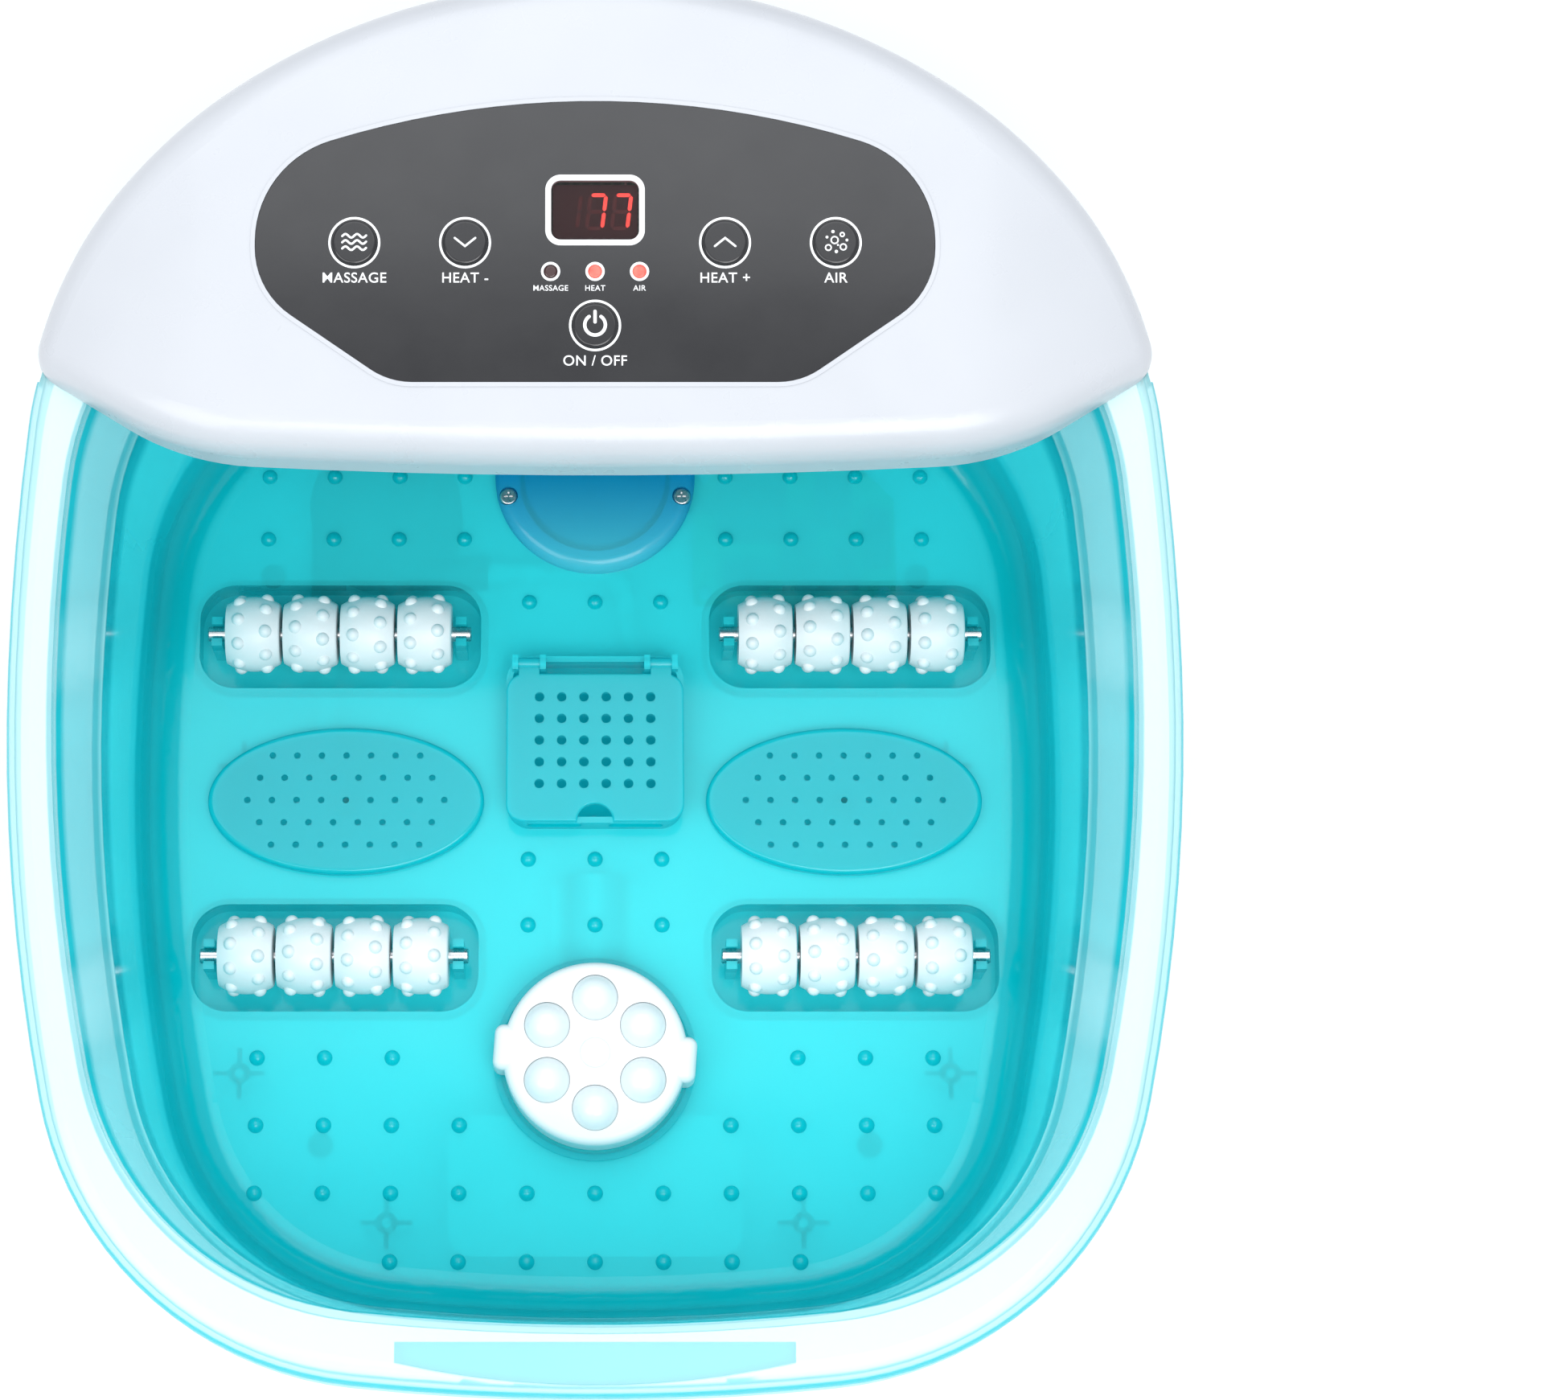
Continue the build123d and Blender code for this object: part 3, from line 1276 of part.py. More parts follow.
def save_basin():
    """Writes the basin, the lower casing and the works between them."""
    save(make_tub(), "tub")
    save(make_base_pan(), "base_pan")
    save(make_feet(), "feet")
    base_screw = screw(1.5, 14.0, 3.2, 2.0)
    seats = [(x, y, FOOT_HEIGHT) for x, y in both_sides(BOSSES)]
    save(screw_group(seats, base_screw), "base_screws")
    save(make_cord_gland(), "cord_gland")
    save(make_cable_duct(), "cable_duct_cover")
    save(make_heater(), "heater")
    save(make_vibration_motor(), "vibration_motor")
    save(make_eccentric_weight(), "eccentric_weight")
    save(make_blower_housing(), "blower_housing")
    save(make_blower_motor(), "blower_motor")
    save(make_blower_impeller(), "blower_impeller")
    save(make_power_board(), "power_board")
    save(make_power_board_parts(), "power_board_parts")
    seats = [(x, y, BOARD_Z + BOARD_THICK) for x, y in BOARD_POSTS]
    save(screw_group(seats, screw(1.2, 6.5, 2.4, 1.5), turned=True), "power_board_screws")
    save(make_air_hoses(), "air_hoses")
    save(make_control_harness(), "control_harness")
    save(make_lamp_board(), "lamp_board")


def save_floor():
    """Writes the fittings on the basin floor."""
    save(make_lamp_cover(), "lamp_cover")
    seats = [(x, y, FLOOR_Z + 3.5) for x, y in LAMP_SCREWS]
    save(screw_group(seats, screw(1.35, 8.0, 3.0, 1.8), turned=True), "lamp_cover_screws")
    save(make_air_plate(-1), "air_plate_left")
    save(make_air_plate(1), "air_plate_right")
    wheel = roller_wheel()
    for name, x, y in roller_places():
        save(make_roller_axle(x, y), f"roller_axle_{name}")
        save(make_roller(x, y, wheel), f"roller_{name}")
    save(make_massage_disc(), "massage_disc")
    save(make_massage_disc_back(), "massage_disc_back")
    turns = [radians(120 * k) for k in range(3)]
    seats = [
        (HEAD_SCREW_RING * cos(turn), HEAD_Y + HEAD_SCREW_RING * sin(turn), HEAD_BOTTOM + 1.2)
        for turn in turns
    ]
    save(screw_group(seats, screw(1.25, 7.0, 2.3, 1.1)), "massage_disc_screws")
    for k, (x, y) in enumerate(head_balls(), start=1):
        with BuildPart() as ball:
            with Locations((x, y, BALL_Z)):
                Sphere(BALL_R)
        save(ball, f"massage_ball_{k}")
    save(make_herb_box(), "herb_box")
    save(make_herb_lid(), "herb_box_lid")


def main():
    os.makedirs("parts", exist_ok=True)
    save_basin()
    save_floor()
    save_hood()


main()
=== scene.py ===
import json
from math import atan2, cos, pi, radians, sin, tan

import bmesh
import bpy
from mathutils import Matrix, Vector


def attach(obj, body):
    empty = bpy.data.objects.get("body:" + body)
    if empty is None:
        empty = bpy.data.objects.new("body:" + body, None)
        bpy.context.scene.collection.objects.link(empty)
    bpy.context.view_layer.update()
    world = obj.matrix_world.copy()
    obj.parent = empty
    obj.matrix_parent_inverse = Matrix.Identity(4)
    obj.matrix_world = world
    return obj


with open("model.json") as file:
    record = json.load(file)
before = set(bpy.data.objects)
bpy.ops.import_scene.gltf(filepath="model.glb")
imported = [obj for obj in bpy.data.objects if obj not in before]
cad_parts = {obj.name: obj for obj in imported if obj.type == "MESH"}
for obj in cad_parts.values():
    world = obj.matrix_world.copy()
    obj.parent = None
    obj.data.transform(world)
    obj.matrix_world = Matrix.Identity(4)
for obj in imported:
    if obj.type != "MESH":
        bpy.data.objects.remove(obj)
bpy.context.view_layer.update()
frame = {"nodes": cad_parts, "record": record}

MM = 0.001

# ---------------------------------------------------------------- places on the hood's sloping panel, in mm
HOOD_TILT = radians(9)
PANEL_ORIGIN = Vector((0, 128.0, 196.9)) * MM
KEY_TOP = 1.2
KEYS = {
    "vibration_key": (-72.6, 0.3),
    "temp_down_key": (-39.2, 0.3),
    "temp_up_key": (39.2, 0.3),
    "bubble_key": (72.6, 0.3),
    "power_key": (0.0, -25.0),
}
INDICATORS = (-13.4, 0.0, 13.4)
INDICATOR_WORD_Y = -13.6
KEY_WORD_DROP = 10.8  # from a key's middle down to its word
KEY_WORD_SIZE = 4.4
INDICATOR_WORD_SIZE = 2.4
PRINT_LIFT = 0.03  # print stands this far above the panel
DISPLAY_Y = 10.3
DIGIT_DEPTH = -2.08
DIGIT_PITCH = 7.6
DIGIT_HALF = (2.35, 5.1)
DIGIT_BAR = 1.15
DIGIT_LEAN = radians(7)
ICON_LINE = 0.62
POWER_LINE = 1.0

# Basin, in metres
RIM_TOP = 0.168
LENS_Y = 0.104
LENS_RADIUS = 0.034


def panel_matrix(x, y, height):
    """A frame on the control panel: x and y along it, height above its face, all in mm."""
    turn = Matrix.Rotation(HOOD_TILT, 4, "X")
    place = turn @ Vector((x, y, height)) * MM
    return Matrix.Translation(PANEL_ORIGIN + place) @ turn @ Matrix.Scale(MM, 4)


# ---------------------------------------------------------------- material building blocks
class Finish:
    """One procedural material round a Principled shader, with short ways to add its nodes."""

    def __init__(self, name):
        self.material = bpy.data.materials.new(name)
        self.material.use_nodes = True
        self.tree = self.material.node_tree
        self.shader = self.tree.nodes["Principled BSDF"]
        self.output = self.tree.nodes["Material Output"]
        self.place = self.tree.nodes.new("ShaderNodeTexCoord").outputs["Object"]

    def node(self, kind, **inputs):
        made = self.tree.nodes.new(kind)
        for key, value in inputs.items():
            self.set(made, key.replace("_", " "), value)
        return made

    def set(self, node, socket, value):
        if isinstance(value, bpy.types.NodeSocket):
            self.tree.links.new(value, node.inputs[socket])
        else:
            node.inputs[socket].default_value = value

    def plain(self, **values):
        """Sets the shader's own sockets."""
        for key, value in values.items():
            self.set(self.shader, key.replace("_", " "), value)
        return self

    def noise(self, scale, detail=3.0, stretch=(1, 1, 1)):
        """Noise in the object's own space; scale is in cells per metre."""
        mapping = self.node("ShaderNodeMapping", Vector=self.place, Scale=stretch)
        noise = self.node("ShaderNodeTexNoise", Vector=mapping.outputs[0], Scale=scale, Detail=detail)
        return noise.outputs["Fac"]

    def ramp(self, value, *stops):
        """A colour ramp through (position, colour) stops; a colour may be one grey number."""
        made = self.tree.nodes.new("ShaderNodeValToRGB")
        elements = made.color_ramp.elements
        while len(elements) < len(stops):
            elements.new(0.5)
        for element, (position, colour) in zip(elements, stops):
            element.position = position
            element.color = (*((colour,) * 3 if isinstance(colour, float) else colour), 1)
        self.tree.links.new(value, made.inputs[0])
        return made.outputs[0]

    def along(self, value, stops):
        """A ramp, or the plain value itself where there is only one stop."""
        if len(stops) > 1:
            return self.ramp(value, *stops)
        only = stops[0][1]
        return only if isinstance(only, float) else (*only, 1)

    def math(self, operation, a, b=0.0, clamp=False):
        made = self.tree.nodes.new("ShaderNodeMath")
        made.operation = operation
        made.use_clamp = clamp
        self.set(made, 0, a)
        self.set(made, 1, b)
        return made.outputs[0]

    def mix(self, share, a, b):
        """Blend of two colours."""
        made = self.tree.nodes.new("ShaderNodeMix")
        made.data_type = "RGBA"
        for socket, value in ((0, share), (6, a), (7, b)):
            if isinstance(value, bpy.types.NodeSocket):
                self.tree.links.new(value, made.inputs[socket])
            else:
                made.inputs[socket].default_value = value if socket == 0 else (*value, 1)
        return made.outputs[2]

    def bump(self, height, depth):
        """Surface relief of this depth, in metres."""
        made = self.node("ShaderNodeBump", Height=height, Strength=1.0, Distance=depth)
        self.set(self.shader, "Normal", made.outputs[0])
        return self


def moulded(name, colour, roughness=0.35, grain=0.00002, cells=900.0, coat=0.0, tone=0.03, wear=0.05):
    """Opaque moulded plastic: faint cloudiness, fine texture and slightly uneven gloss."""
    f = Finish(name)
    low = tuple(max(0.0, c - tone) for c in colour)
    high = tuple(min(1.0, c + tone * 0.4) for c in colour)
    f.plain(Base_Color=f.ramp(f.noise(22.0, 2.0), (0.3, low), (0.7, high)))
    f.plain(Roughness=f.ramp(f.noise(60.0, 4.0), (0.3, roughness - wear), (0.7, roughness + wear)))
    f.plain(Coat_Weight=coat, Coat_Roughness=0.12, IOR=1.5)
    return f.bump(f.noise(cells, 2.0), grain).material


def metal(name, colour, roughness, stretch):
    """Metal with fine brushed or turned lines along one direction."""
    f = Finish(name)
    lines = f.noise(1200.0, 3.0, stretch)
    dark = tuple(c * 0.82 for c in colour)
    f.plain(Metallic=1.0, Base_Color=f.ramp(lines, (0.3, dark), (0.7, colour)))
    f.plain(Roughness=f.ramp(lines, (0.3, roughness * 0.8), (0.7, roughness * 1.25)))
    return f.bump(lines, 0.00001).material


def rubber(name, colour, roughness=0.75):
    """Soft rubber with a dusty, finely pitted skin."""
    f = Finish(name)
    dusty = tuple(min(1.0, c * 1.5 + 0.02) for c in colour)
    f.plain(Base_Color=f.ramp(f.noise(160.0, 5.0), (0.35, colour), (0.75, dusty)))
    f.plain(Roughness=f.ramp(f.noise(300.0, 3.0), (0.3, roughness - 0.1), (0.7, roughness + 0.1)))
    return f.bump(f.noise(2500.0, 2.0), 0.00004).material


def glowing(name, colour, strength, edge=0.4):
    """Lit plastic whose glow is uneven, as over a lamp."""
    f = Finish(name)
    glow = f.ramp(f.noise(260.0, 2.0), (0.25, tuple(c * edge for c in colour)), (0.6, colour))
    f.plain(Base_Color=glow, Emission_Color=glow, Emission_Strength=strength, Roughness=0.3)
    return f.material


def clear_plastic(name, tints, bodies, opacities, roughness=0.1, axis="Z", reach=RIM_TOP, origin=0.0):
    """Tinted see-through plastic.

    tints, bodies and opacities are ramps from origin over reach, in metres along the axis: the
    colour that passes, the colour that scatters, and how much of the surface scatters.
    """
    f = Finish(name)
    split = f.node("ShaderNodeSeparateXYZ", Vector=f.place)
    rise = f.math("MULTIPLY", f.math("SUBTRACT", split.outputs[axis], origin), 1 / reach)
    tint, body, opacity = (f.along(rise, stops) for stops in (tints, bodies, opacities))
    cloud = f.noise(14.0, 3.0)
    f.plain(Base_Color=body, IOR=1.5, Coat_Weight=0.25, Coat_Roughness=0.08)
    f.plain(Roughness=f.ramp(cloud, (0.3, roughness), (0.7, roughness + 0.08)))
    f.bump(f.noise(35.0, 2.0), 0.00012)
    clear = f.node("ShaderNodeBsdfTransparent", Color=tint)
    uneven = f.ramp(cloud, (0.25, 0.88), (0.75, 1.0))
    share = f.math("MULTIPLY", opacity, uneven, True)
    mix = f.tree.nodes.new("ShaderNodeMixShader")
    f.tree.links.new(share, mix.inputs[0])
    f.tree.links.new(clear.outputs[0], mix.inputs[1])
    f.tree.links.new(f.shader.outputs[0], mix.inputs[2])
    f.tree.links.new(mix.outputs[0], f.output.inputs["Surface"])
    return f.material


def basin_plastic():
    """The basin's cyan plastic by height: floor, painted shade on the nubs and round the floor's edge, wall,
    a painted water line (a dark band of painted shade with a band of painted highlight above it), upper wall,
    painted shade along the rim's inner edge, and rim.

    levels are shares of the rim's height, and zones says which row of each list holds there.
    """
    # levels 0.242 to 0.258 are painted shade: the nubs and a ring round the floor's edge are coloured darker
    # cyan
    below_fill = (0.0, 0.239, 0.242, 0.258, 0.30, 0.35, 0.66, 0.70, 0.744)
    # levels 0.70 to 0.744 are a dark band of painted shade under a water line, and 0.75 (glint) is a pale
    # band of painted highlight above it
    levels = (*below_fill, 0.75, 0.77, 0.93, 0.956, 0.976, 0.981)
    # levels 0.956 to 0.976 (edge) are a dark band of painted shade along the rim's inner edge
    floor, painted_nub_shade, wall, painted_waterline_shade, glint, upper, edge, rim = range(8)
    zones = (floor, floor, painted_nub_shade, painted_nub_shade, floor, wall, wall, painted_waterline_shade, painted_waterline_shade, glint, upper, upper, edge, edge, rim)
    # rows in zone order: floor, nub painted shade, wall, water-line painted shade, glint painted highlight,
    # upper wall, rim-edge painted shade, rim
    tints = (
        (0.40, 0.97, 0.985),
        (0.20, 0.86, 0.90),
        (0.32, 0.93, 0.95),
        (0.08, 0.70, 0.76),
        (0.80, 0.98, 0.985),
        (0.66, 0.93, 0.95),
        (0.12, 0.74, 0.80),
        (0.90, 0.985, 0.99),
    )
    bodies = (
        (0.07, 0.92, 0.97),
        (0.0, 0.58, 0.64),
        (0.02, 0.80, 0.87),
        (0.0, 0.44, 0.52),
        (0.66, 0.97, 0.98),
        (0.30, 0.80, 0.86),
        (0.0, 0.54, 0.62),
        (0.74, 0.95, 0.96),
    )
    opacities = (0.42, 0.6, 0.5, 0.65, 0.6, 0.45, 0.7, 0.34)
    stops = list(zip(levels, zones))
    ramps = [[(level, rows[zone]) for level, zone in stops] for rows in (tints, bodies, opacities)]
    return clear_plastic("tub_plastic", *ramps)


def circuit_board(name):
    """Green solder mask with lighter tracks and tinned pads showing through."""
    f = Finish(name)
    flat = f.node("ShaderNodeMapping", Vector=f.place, Scale=(1, 1, 0)).outputs[0]
    tracks = f.node("ShaderNodeTexBrick", Vector=flat, Scale=160.0, Mortar_Size=0.06)
    tracks.offset = 0.35
    f.set(tracks, "Color1", (0.0, 0.25, 0.14, 1))
    f.set(tracks, "Color2", (0.01, 0.33, 0.18, 1))
    f.set(tracks, "Mortar", (0.06, 0.45, 0.22, 1))
    pads = f.node("ShaderNodeTexVoronoi", Vector=flat, Scale=260.0)
    spots = f.ramp(pads.outputs["Distance"], (0.12, 1.0), (0.16, 0.0))
    f.plain(Base_Color=f.mix(spots, tracks.outputs["Color"], (0.75, 0.72, 0.62)), Roughness=0.35)
    return f.bump(f.noise(500.0, 2.0), 0.00003).material


def make_materials():
    """One finish for each material slot of the record."""
    fittings = clear_plastic(
        "lid_plastic", [(0.0, (0.30, 0.90, 0.93))], [(0.0, (0.03, 0.68, 0.74))], [(0.0, 0.5)]
    )
    lens = clear_plastic(
        "blue_lens",
        # painted highlight: the lens is coloured paler towards its front edge (low y) than from its middle
        # back
        [(0.0, (0.45, 0.93, 0.99)), (0.5, (0.08, 0.66, 0.92)), (1.0, (0.07, 0.72, 0.90))],
        [(0.0, (0.12, 0.72, 0.84)), (0.5, (0.004, 0.37, 0.64)), (1.0, (0.004, 0.40, 0.60))],
        [(0.0, 0.55)],
        axis="Y",
        reach=2 * LENS_RADIUS,
        origin=LENS_Y - LENS_RADIUS,
    )
    window = clear_plastic(
        "smoked_window", [(0.0, (0.85, 0.72, 0.72))], [(0.0, (0.02, 0.018, 0.02))], [(0.0, 0.2)]
    )
    return {
        "tub_plastic": basin_plastic(),
        "lid_plastic": fittings,
        "blue_lens": lens,
        "smoked_window": window,
        "white_casing": moulded("white_casing", (0.86, 0.88, 0.9), 0.42, 0.00004, 1400.0),
        "hood_plastic": moulded("hood_plastic", (0.53, 0.55, 0.585), 0.3, 0.000012, 900.0, 0.2, 0.015),
        "white_fittings": moulded("white_fittings", (0.78, 0.81, 0.82), 0.38, 0.00003, 1100.0),
        "white_balls": moulded("white_balls", (0.80, 0.82, 0.83), 0.22, 0.00001, 500.0, 0.3),
        "grey_rubber": rubber("grey_rubber", (0.16, 0.17, 0.18)),
        "panel_black": moulded("panel_black", (0.012, 0.012, 0.014), 0.14, 0.000004, 300.0, 0.4, 0.004, 0.03),
        "key_black": moulded("key_black", (0.01, 0.01, 0.012), 0.2, 0.000004, 300.0, 0.3, 0.004, 0.03),
        "white_print": moulded("white_print", (0.88, 0.89, 0.9), 0.3, 0.00001, 900.0),
        "display_block": moulded("display_block", (0.05, 0.02, 0.022), 0.4, 0.00001, 700.0, 0.0, 0.01),
        "lamp_unlit": moulded("lamp_unlit", (0.05, 0.02, 0.02), 0.2, 0.00001, 400.0, 0.4, 0.01),
        "lamp_lit": glowing("lamp_lit", (1.0, 0.13, 0.1), 0.9),
        "circuit_board": circuit_board("circuit_board"),
        "board_parts": moulded("board_parts", (0.05, 0.05, 0.055), 0.45, 0.00004, 900.0),
        "heater_metal": metal("heater_metal", (0.62, 0.63, 0.64), 0.38, (1, 8, 8)),
        "motor_steel": metal("motor_steel", (0.6, 0.6, 0.62), 0.3, (6, 1, 6)),
        "weight_metal": metal("weight_metal", (0.62, 0.5, 0.28), 0.42, (1, 1, 1)),
        "screw_steel": metal("screw_steel", (0.6, 0.6, 0.61), 0.3, (1, 1, 6)),
        "axle_steel": metal("axle_steel", (0.62, 0.63, 0.64), 0.25, (8, 1, 1)),
        "black_plastic": moulded("black_plastic", (0.03, 0.03, 0.033), 0.5, 0.00005, 1000.0),
        "fan_plastic": moulded("fan_plastic", (0.6, 0.62, 0.63), 0.45, 0.00003, 900.0),
        "hose": rubber("hose", (0.62, 0.65, 0.64), 0.45),
        "sleeve": rubber("sleeve", (0.03, 0.03, 0.033), 0.6),
    }


def dress_nodes(finishes):
    """Gives every CAD node its finish, by its record slot."""
    for entry in frame["record"]["subparts"]:
        node = frame["nodes"][entry["node"]]
        node.data.materials.clear()
        node.data.materials.append(finishes[entry["material_slot"]])


# ---------------------------------------------------------------- printed marks
def mark_object(name, build, place, finish, body):
    """A thin raised mark: build fills a bmesh in mm in its own flat frame, place sets it on the object."""
    mesh = bpy.data.meshes.new(name)
    bm = bmesh.new()
    build(bm)
    bmesh.ops.recalc_face_normals(bm, faces=bm.faces)
    bm.to_mesh(mesh)
    bm.free()
    mesh.transform(place)
    mesh.materials.append(finish)
    piece = bpy.data.objects.new(name, mesh)
    bpy.context.scene.collection.objects.link(piece)
    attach(piece, body)
    return piece


def prism(bm, outline, thickness=0.06):
    """A flat plate with this outline, standing on z = 0."""
    base = [bm.verts.new((x, y, 0)) for x, y in outline]
    face = bm.faces.new(base)
    top = bmesh.ops.extrude_face_region(bm, geom=[face])
    raised = [v for v in top["geom"] if isinstance(v, bmesh.types.BMVert)]
    bmesh.ops.translate(bm, verts=raised, vec=(0, 0, thickness))


def arc_points(radius, start, end, count=40, centre=(0, 0)):
    """Points on an arc, with angles in degrees."""
    angles = [radians(start + (end - start) * k / (count - 1)) for k in range(count)]
    return [(centre[0] + radius * cos(a), centre[1] + radius * sin(a)) for a in angles]


def stroke(bm, points, width, thickness=0.06):
    """A pen stroke with round ends along the points."""
    spine = [Vector(p) for p in points]
    left, right = [], []
    for k, p in enumerate(spine):
        before = (p - spine[k - 1]).normalized() if k else (spine[1] - p).normalized()
        after = (spine[k + 1] - p).normalized() if k + 1 < len(spine) else before
        along = (before + after).normalized()
        side = Vector((-along.y, along.x)) * (width / 2) / max(0.4, along.dot(after))
        left.append(p + side)
        right.append(p - side)
    head = (spine[-1] - spine[-2]).normalized()
    tail = (spine[0] - spine[1]).normalized()
    outline = left + round_end(spine[-1], head, width / 2)
    outline += right[::-1] + round_end(spine[0], tail, width / 2)
    prism(bm, [(v.x, v.y) for v in outline], thickness)


def round_end(centre, along, radius):
    """The half circle that closes a stroke, from its left side round to its right."""
    lead = atan2(along.y, along.x) + pi / 2
    return [centre + radius * Vector((cos(lead - pi * k / 8), sin(lead - pi * k / 8))) for k in range(1, 8)]


def ring(bm, radius, width, centre=(0, 0), thickness=0.06, count=48):
    """A closed ring, as one band of faces."""
    inner, outer = radius - width / 2, radius + width / 2
    cx, cy = centre
    turns = [2 * pi * k / count for k in range(count)]
    rows = []
    for r, z in ((outer, 0), (outer, thickness), (inner, thickness), (inner, 0)):
        rows.append([bm.verts.new((cx + r * cos(turn), cy + r * sin(turn), z)) for turn in turns])
    for a, b in zip(rows, rows[1:] + rows[:1]):
        for k in range(count):
            n = (k + 1) % count
            bm.faces.new((a[k], a[n], b[n], b[k]))


def wave_icon(bm):
    """Three wavy lines: massage."""
    half_wave, swing = 1.75, 0.55
    for row in (-1.9, 0.0, 1.9):
        points = [(x / 10, row + swing * sin(x / 10 * pi / half_wave)) for x in range(-36, 37, 2)]
        stroke(bm, points, ICON_LINE)


def chevron_icon(up):
    """An arrow head that points up or down."""
    rise = 1.25 if up else -1.25
    return lambda bm: stroke(bm, [(-3.1, -rise), (0, rise), (3.1, -rise)], ICON_LINE)


def bubble_icon(bm):
    """Small rings and dots: air bubbles."""
    for x, y, r in ((-0.4, 0.6, 1.05), (2.2, -1.5, 0.9), (-2.3, -1.7, 0.85), (1.9, 2.3, 0.6)):
        ring(bm, r, 0.42, (x, y))
    dots = ((-2.7, 1.5, 0.42), (-0.9, 3.2, 0.5), (0.1, -2.9, 0.5), (3.3, 0.6, 0.42), (0.6, -0.9, 0.3))
    for x, y, r in dots:
        prism(bm, arc_points(r, 0, 345, 24, (x, y)))


def power_icon(bm):
    """A broken ring with a bar in its gap: on and off."""
    stroke(bm, arc_points(3.1, 55, -235, 60), POWER_LINE)
    stroke(bm, [(0, 0.9), (0, 4.1)], POWER_LINE)


def add_key_icons(finishes):
    """The white symbol on the cap of each key."""
    icons = {
        "vibration_key": wave_icon,
        "temp_down_key": chevron_icon(False),
        "temp_up_key": chevron_icon(True),
        "bubble_key": bubble_icon,
        "power_key": power_icon,
    }
    for body, (x, y) in KEYS.items():
        place = panel_matrix(x, y, KEY_TOP)
        mark_object(f"{body}_symbol", icons[body], place, finishes["white_print"], body)


def add_label(name, text, size, x, y, finishes):
    """A short generic word printed on the panel, centred on x, y."""
    curve = bpy.data.curves.new(name, "FONT")
    curve.body = text
    curve.size = size
    curve.align_x = "CENTER"
    curve.align_y = "CENTER"
    curve.extrude = 0.02
    curve.offset = 0.006 * size
    curve.space_character = 1.06
    letters = bpy.data.objects.new(name + "_letters", curve)
    bpy.context.scene.collection.objects.link(letters)
    mesh = bpy.data.meshes.new_from_object(letters)
    bpy.data.objects.remove(letters)
    mesh.name = name
    mesh.transform(panel_matrix(x, y, PRINT_LIFT))
    mesh.materials.clear()
    mesh.materials.append(finishes["white_print"])
    piece = bpy.data.objects.new(name, mesh)
    bpy.context.scene.collection.objects.link(piece)
    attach(piece, "basin")


def add_labels(finishes):
    """Generic words under the keys and the indicator lamps."""
    words = {
        "vibration_key": "MASSAGE",
        "temp_down_key": "HEAT -",
        "temp_up_key": "HEAT +",
        "bubble_key": "AIR",
        "power_key": "ON / OFF",
    }
    for body, text in words.items():
        x, y = KEYS[body]
        add_label(f"label_{body}", text, KEY_WORD_SIZE, x, y - KEY_WORD_DROP, finishes)
    for side, x, text in zip(("left", "middle", "right"), INDICATORS, ("MASSAGE", "HEAT", "AIR")):
        add_label(f"label_indicator_{side}", text, INDICATOR_WORD_SIZE, x, INDICATOR_WORD_Y, finishes)


# ---------------------------------------------------------------- display
SEGMENTS = {
    "a": ((-1, 2), (1, 2)),
    "b": ((1, 2), (1, 0)),
    "c": ((1, 0), (1, -2)),
    "d": ((-1, -2), (1, -2)),
    "e": ((-1, 0), (-1, -2)),
    "f": ((-1, 2), (-1, 0)),
    "g": ((-1, 0), (1, 0)),
}


def segment(bm, ends, middle):
    """One bar of a seven-bar digit: a long hexagon, leaning with the digit, whose middle is at x."""
    half_width, half_height = DIGIT_HALF
    gap = 0.16
    a, b = (Vector((x * half_width, y * half_height / 2)) for x, y in ends)
    along = (b - a).normalized()
    side = Vector((-along.y, along.x)) * DIGIT_BAR / 2
    a, b = a + along * gap, b - along * gap
    tip = along * DIGIT_BAR / 2
    outline = [a, a + tip + side, b - tip + side, b, b - tip - side, a + tip - side]
    prism(bm, [(middle + v.x + v.y * tan(DIGIT_LEAN), v.y) for v in outline], 0.05)


def digits(lit):
    """The lit bars, or the bars that stay dark, of the three digits that read 77."""
    shown = ("", "abc", "abc")

    def build(bm):
        for k, on in enumerate(shown):
            for bar, ends in SEGMENTS.items():
                if k == 0 and bar not in "bc":
                    continue
                if (bar in on) == lit:
                    segment(bm, ends, (k - 1) * DIGIT_PITCH + 0.4)

    return build


def add_digits(finishes):
    """Red digits and their dark bars, on the display block under the window."""
    lit = glowing("digit_red", (1.0, 0.10, 0.08), 2.6, 0.8)
    dark = moulded("digit_dark", (0.16, 0.05, 0.05), 0.4, 0.00001, 700.0, 0.0, 0.02)
    place = panel_matrix(0, DISPLAY_Y, DIGIT_DEPTH)
    mark_object("display_digits", digits(True), place, lit, "basin")
    mark_object("display_dark_bars", digits(False), place, dark, "basin")


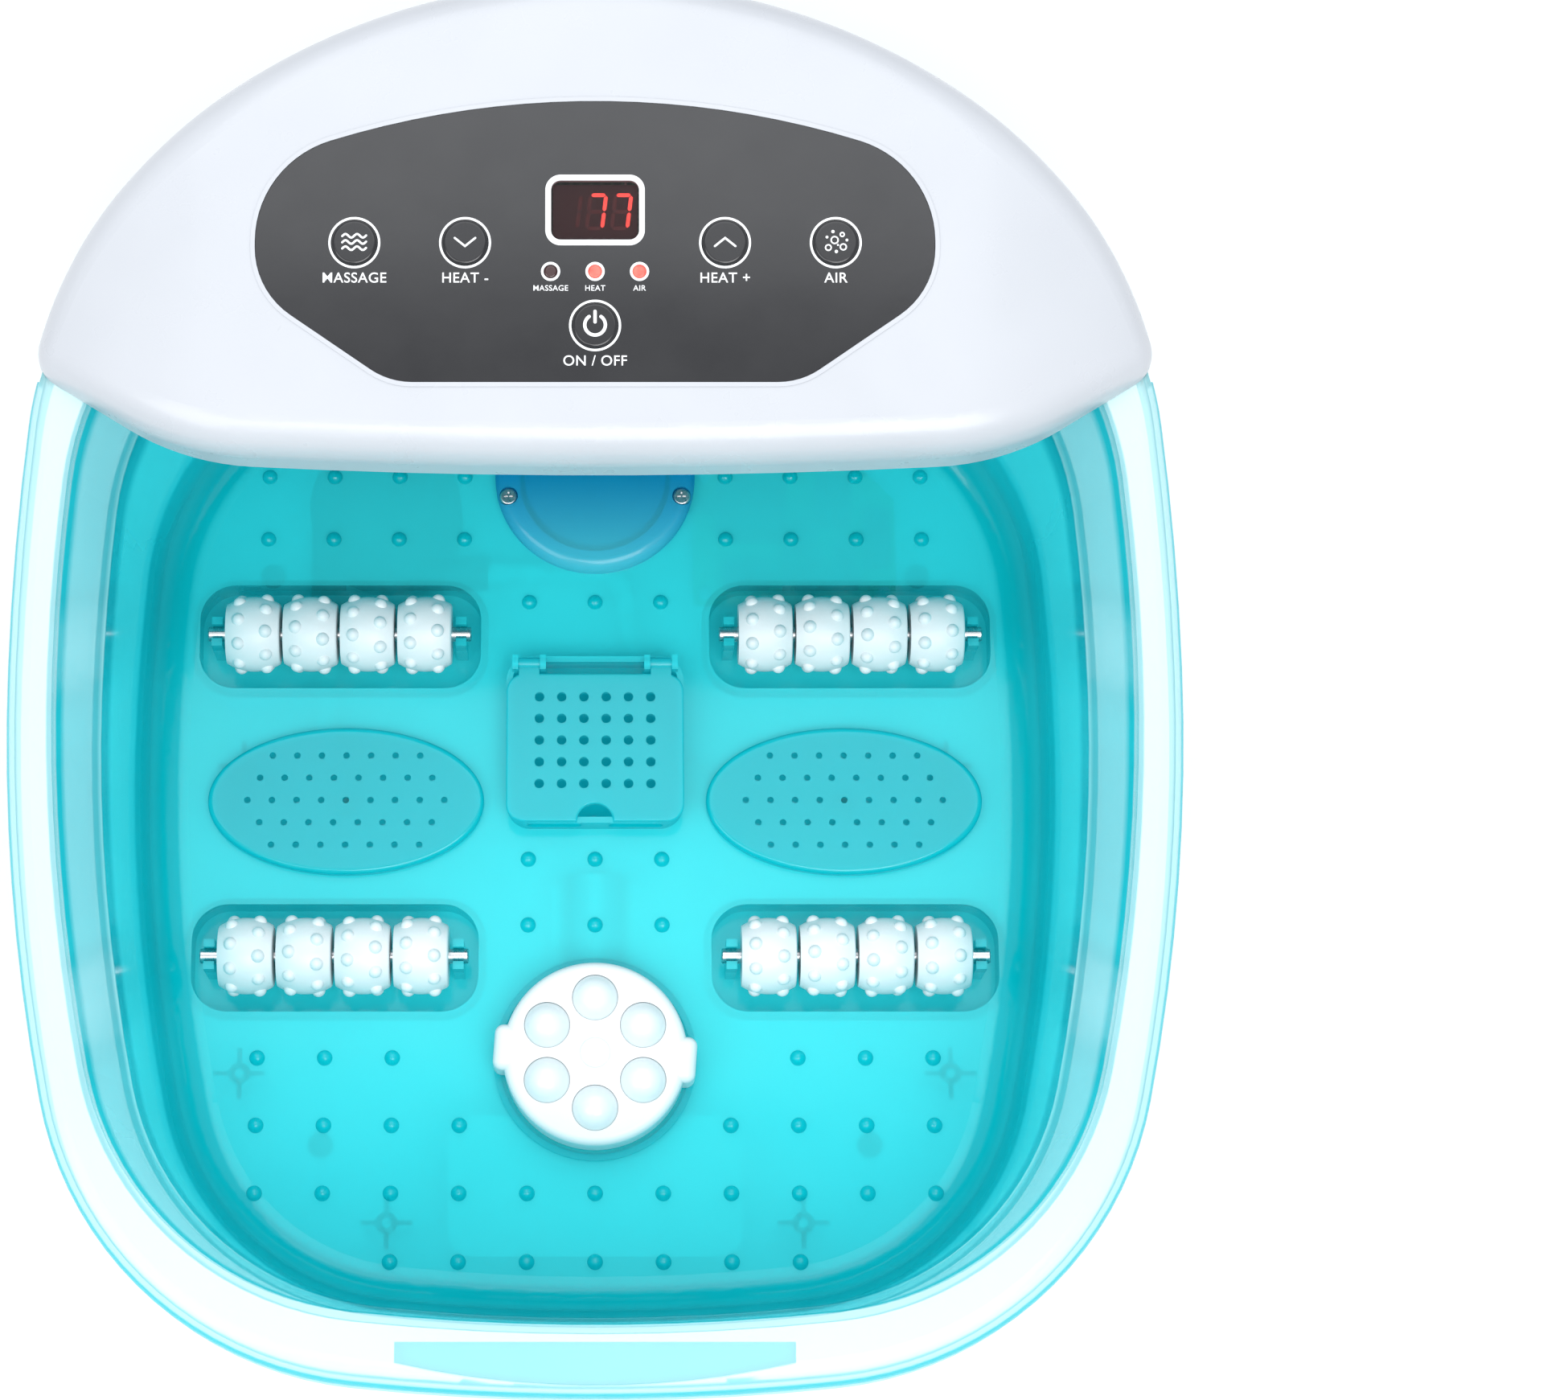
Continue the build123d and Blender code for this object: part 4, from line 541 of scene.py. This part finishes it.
# ---------------------------------------------------------------- stage
def add_stage():
    """Pale floor that the basin stands on."""
    bpy.ops.mesh.primitive_plane_add(size=8.0)
    floor = bpy.context.object
    floor.name = "floor"
    f = Finish("pale_floor")
    f.plain(Base_Color=f.ramp(f.noise(1.5, 2.0), (0.3, 0.86), (0.7, 0.9)), Roughness=0.6)
    floor.data.materials.append(f.material)


def add_area(name, place, aim, size, energy, colour=(1, 1, 1)):
    """A square soft light that points at aim."""
    light = bpy.data.lights.new(name, "AREA")
    light.shape = "SQUARE"
    light.size = size
    light.energy = energy
    light.color = colour
    lamp = bpy.data.objects.new(name, light)
    lamp.location = place
    lamp.rotation_euler = (Vector(aim) - Vector(place)).to_track_quat("-Z", "Y").to_euler()
    bpy.context.scene.collection.objects.link(lamp)


def add_lights():
    """Even studio light: a pale surround, two soft lights in front and a large one behind."""
    world = bpy.data.worlds.new("studio")
    world.use_nodes = True
    background = world.node_tree.nodes["Background"]
    background.inputs["Color"].default_value = (0.93, 0.96, 1.0, 1)
    background.inputs["Strength"].default_value = 0.78
    bpy.context.scene.world = world
    middle = (0, 0, 0.1)
    add_area("key", (-0.9, -0.7, 1.6), middle, 1.1, 10.0)
    add_area("front", (0.3, -0.75, 1.6), middle, 1.0, 15.0)
    add_area("rear", (0, 0.92, 1.8), middle, 1.6, 12.0, (0.96, 0.98, 1.0))


def add_camera():
    """Steep view from the front, with the basin left of the middle of the picture."""
    elevation = radians(76)
    distance = 1.15
    target = Vector((0, 0, 0.12))
    camera = bpy.data.cameras.new("camera")
    camera.lens = 84.2
    camera.sensor_width = 36.0
    camera.shift_x = 0.1205
    camera.shift_y = 0.011
    camera.dof.use_dof = False
    holder = bpy.data.objects.new("camera", camera)
    back = Vector((0, -cos(elevation), sin(elevation)))
    holder.location = target + back * distance
    holder.rotation_euler = (-back).to_track_quat("-Z", "Y").to_euler()
    bpy.context.scene.collection.objects.link(holder)
    bpy.context.scene.camera = holder


def main():
    scene = bpy.context.scene
    scene.view_settings.view_transform = "Standard"
    scene.cycles.max_bounces = 10
    scene.cycles.diffuse_bounces = 4
    scene.cycles.glossy_bounces = 3
    scene.cycles.transparent_max_bounces = 14
    add_camera()
    finishes = make_materials()
    dress_nodes(finishes)
    add_key_icons(finishes)
    add_labels(finishes)
    add_digits(finishes)
    add_stage()
    add_lights()


main()
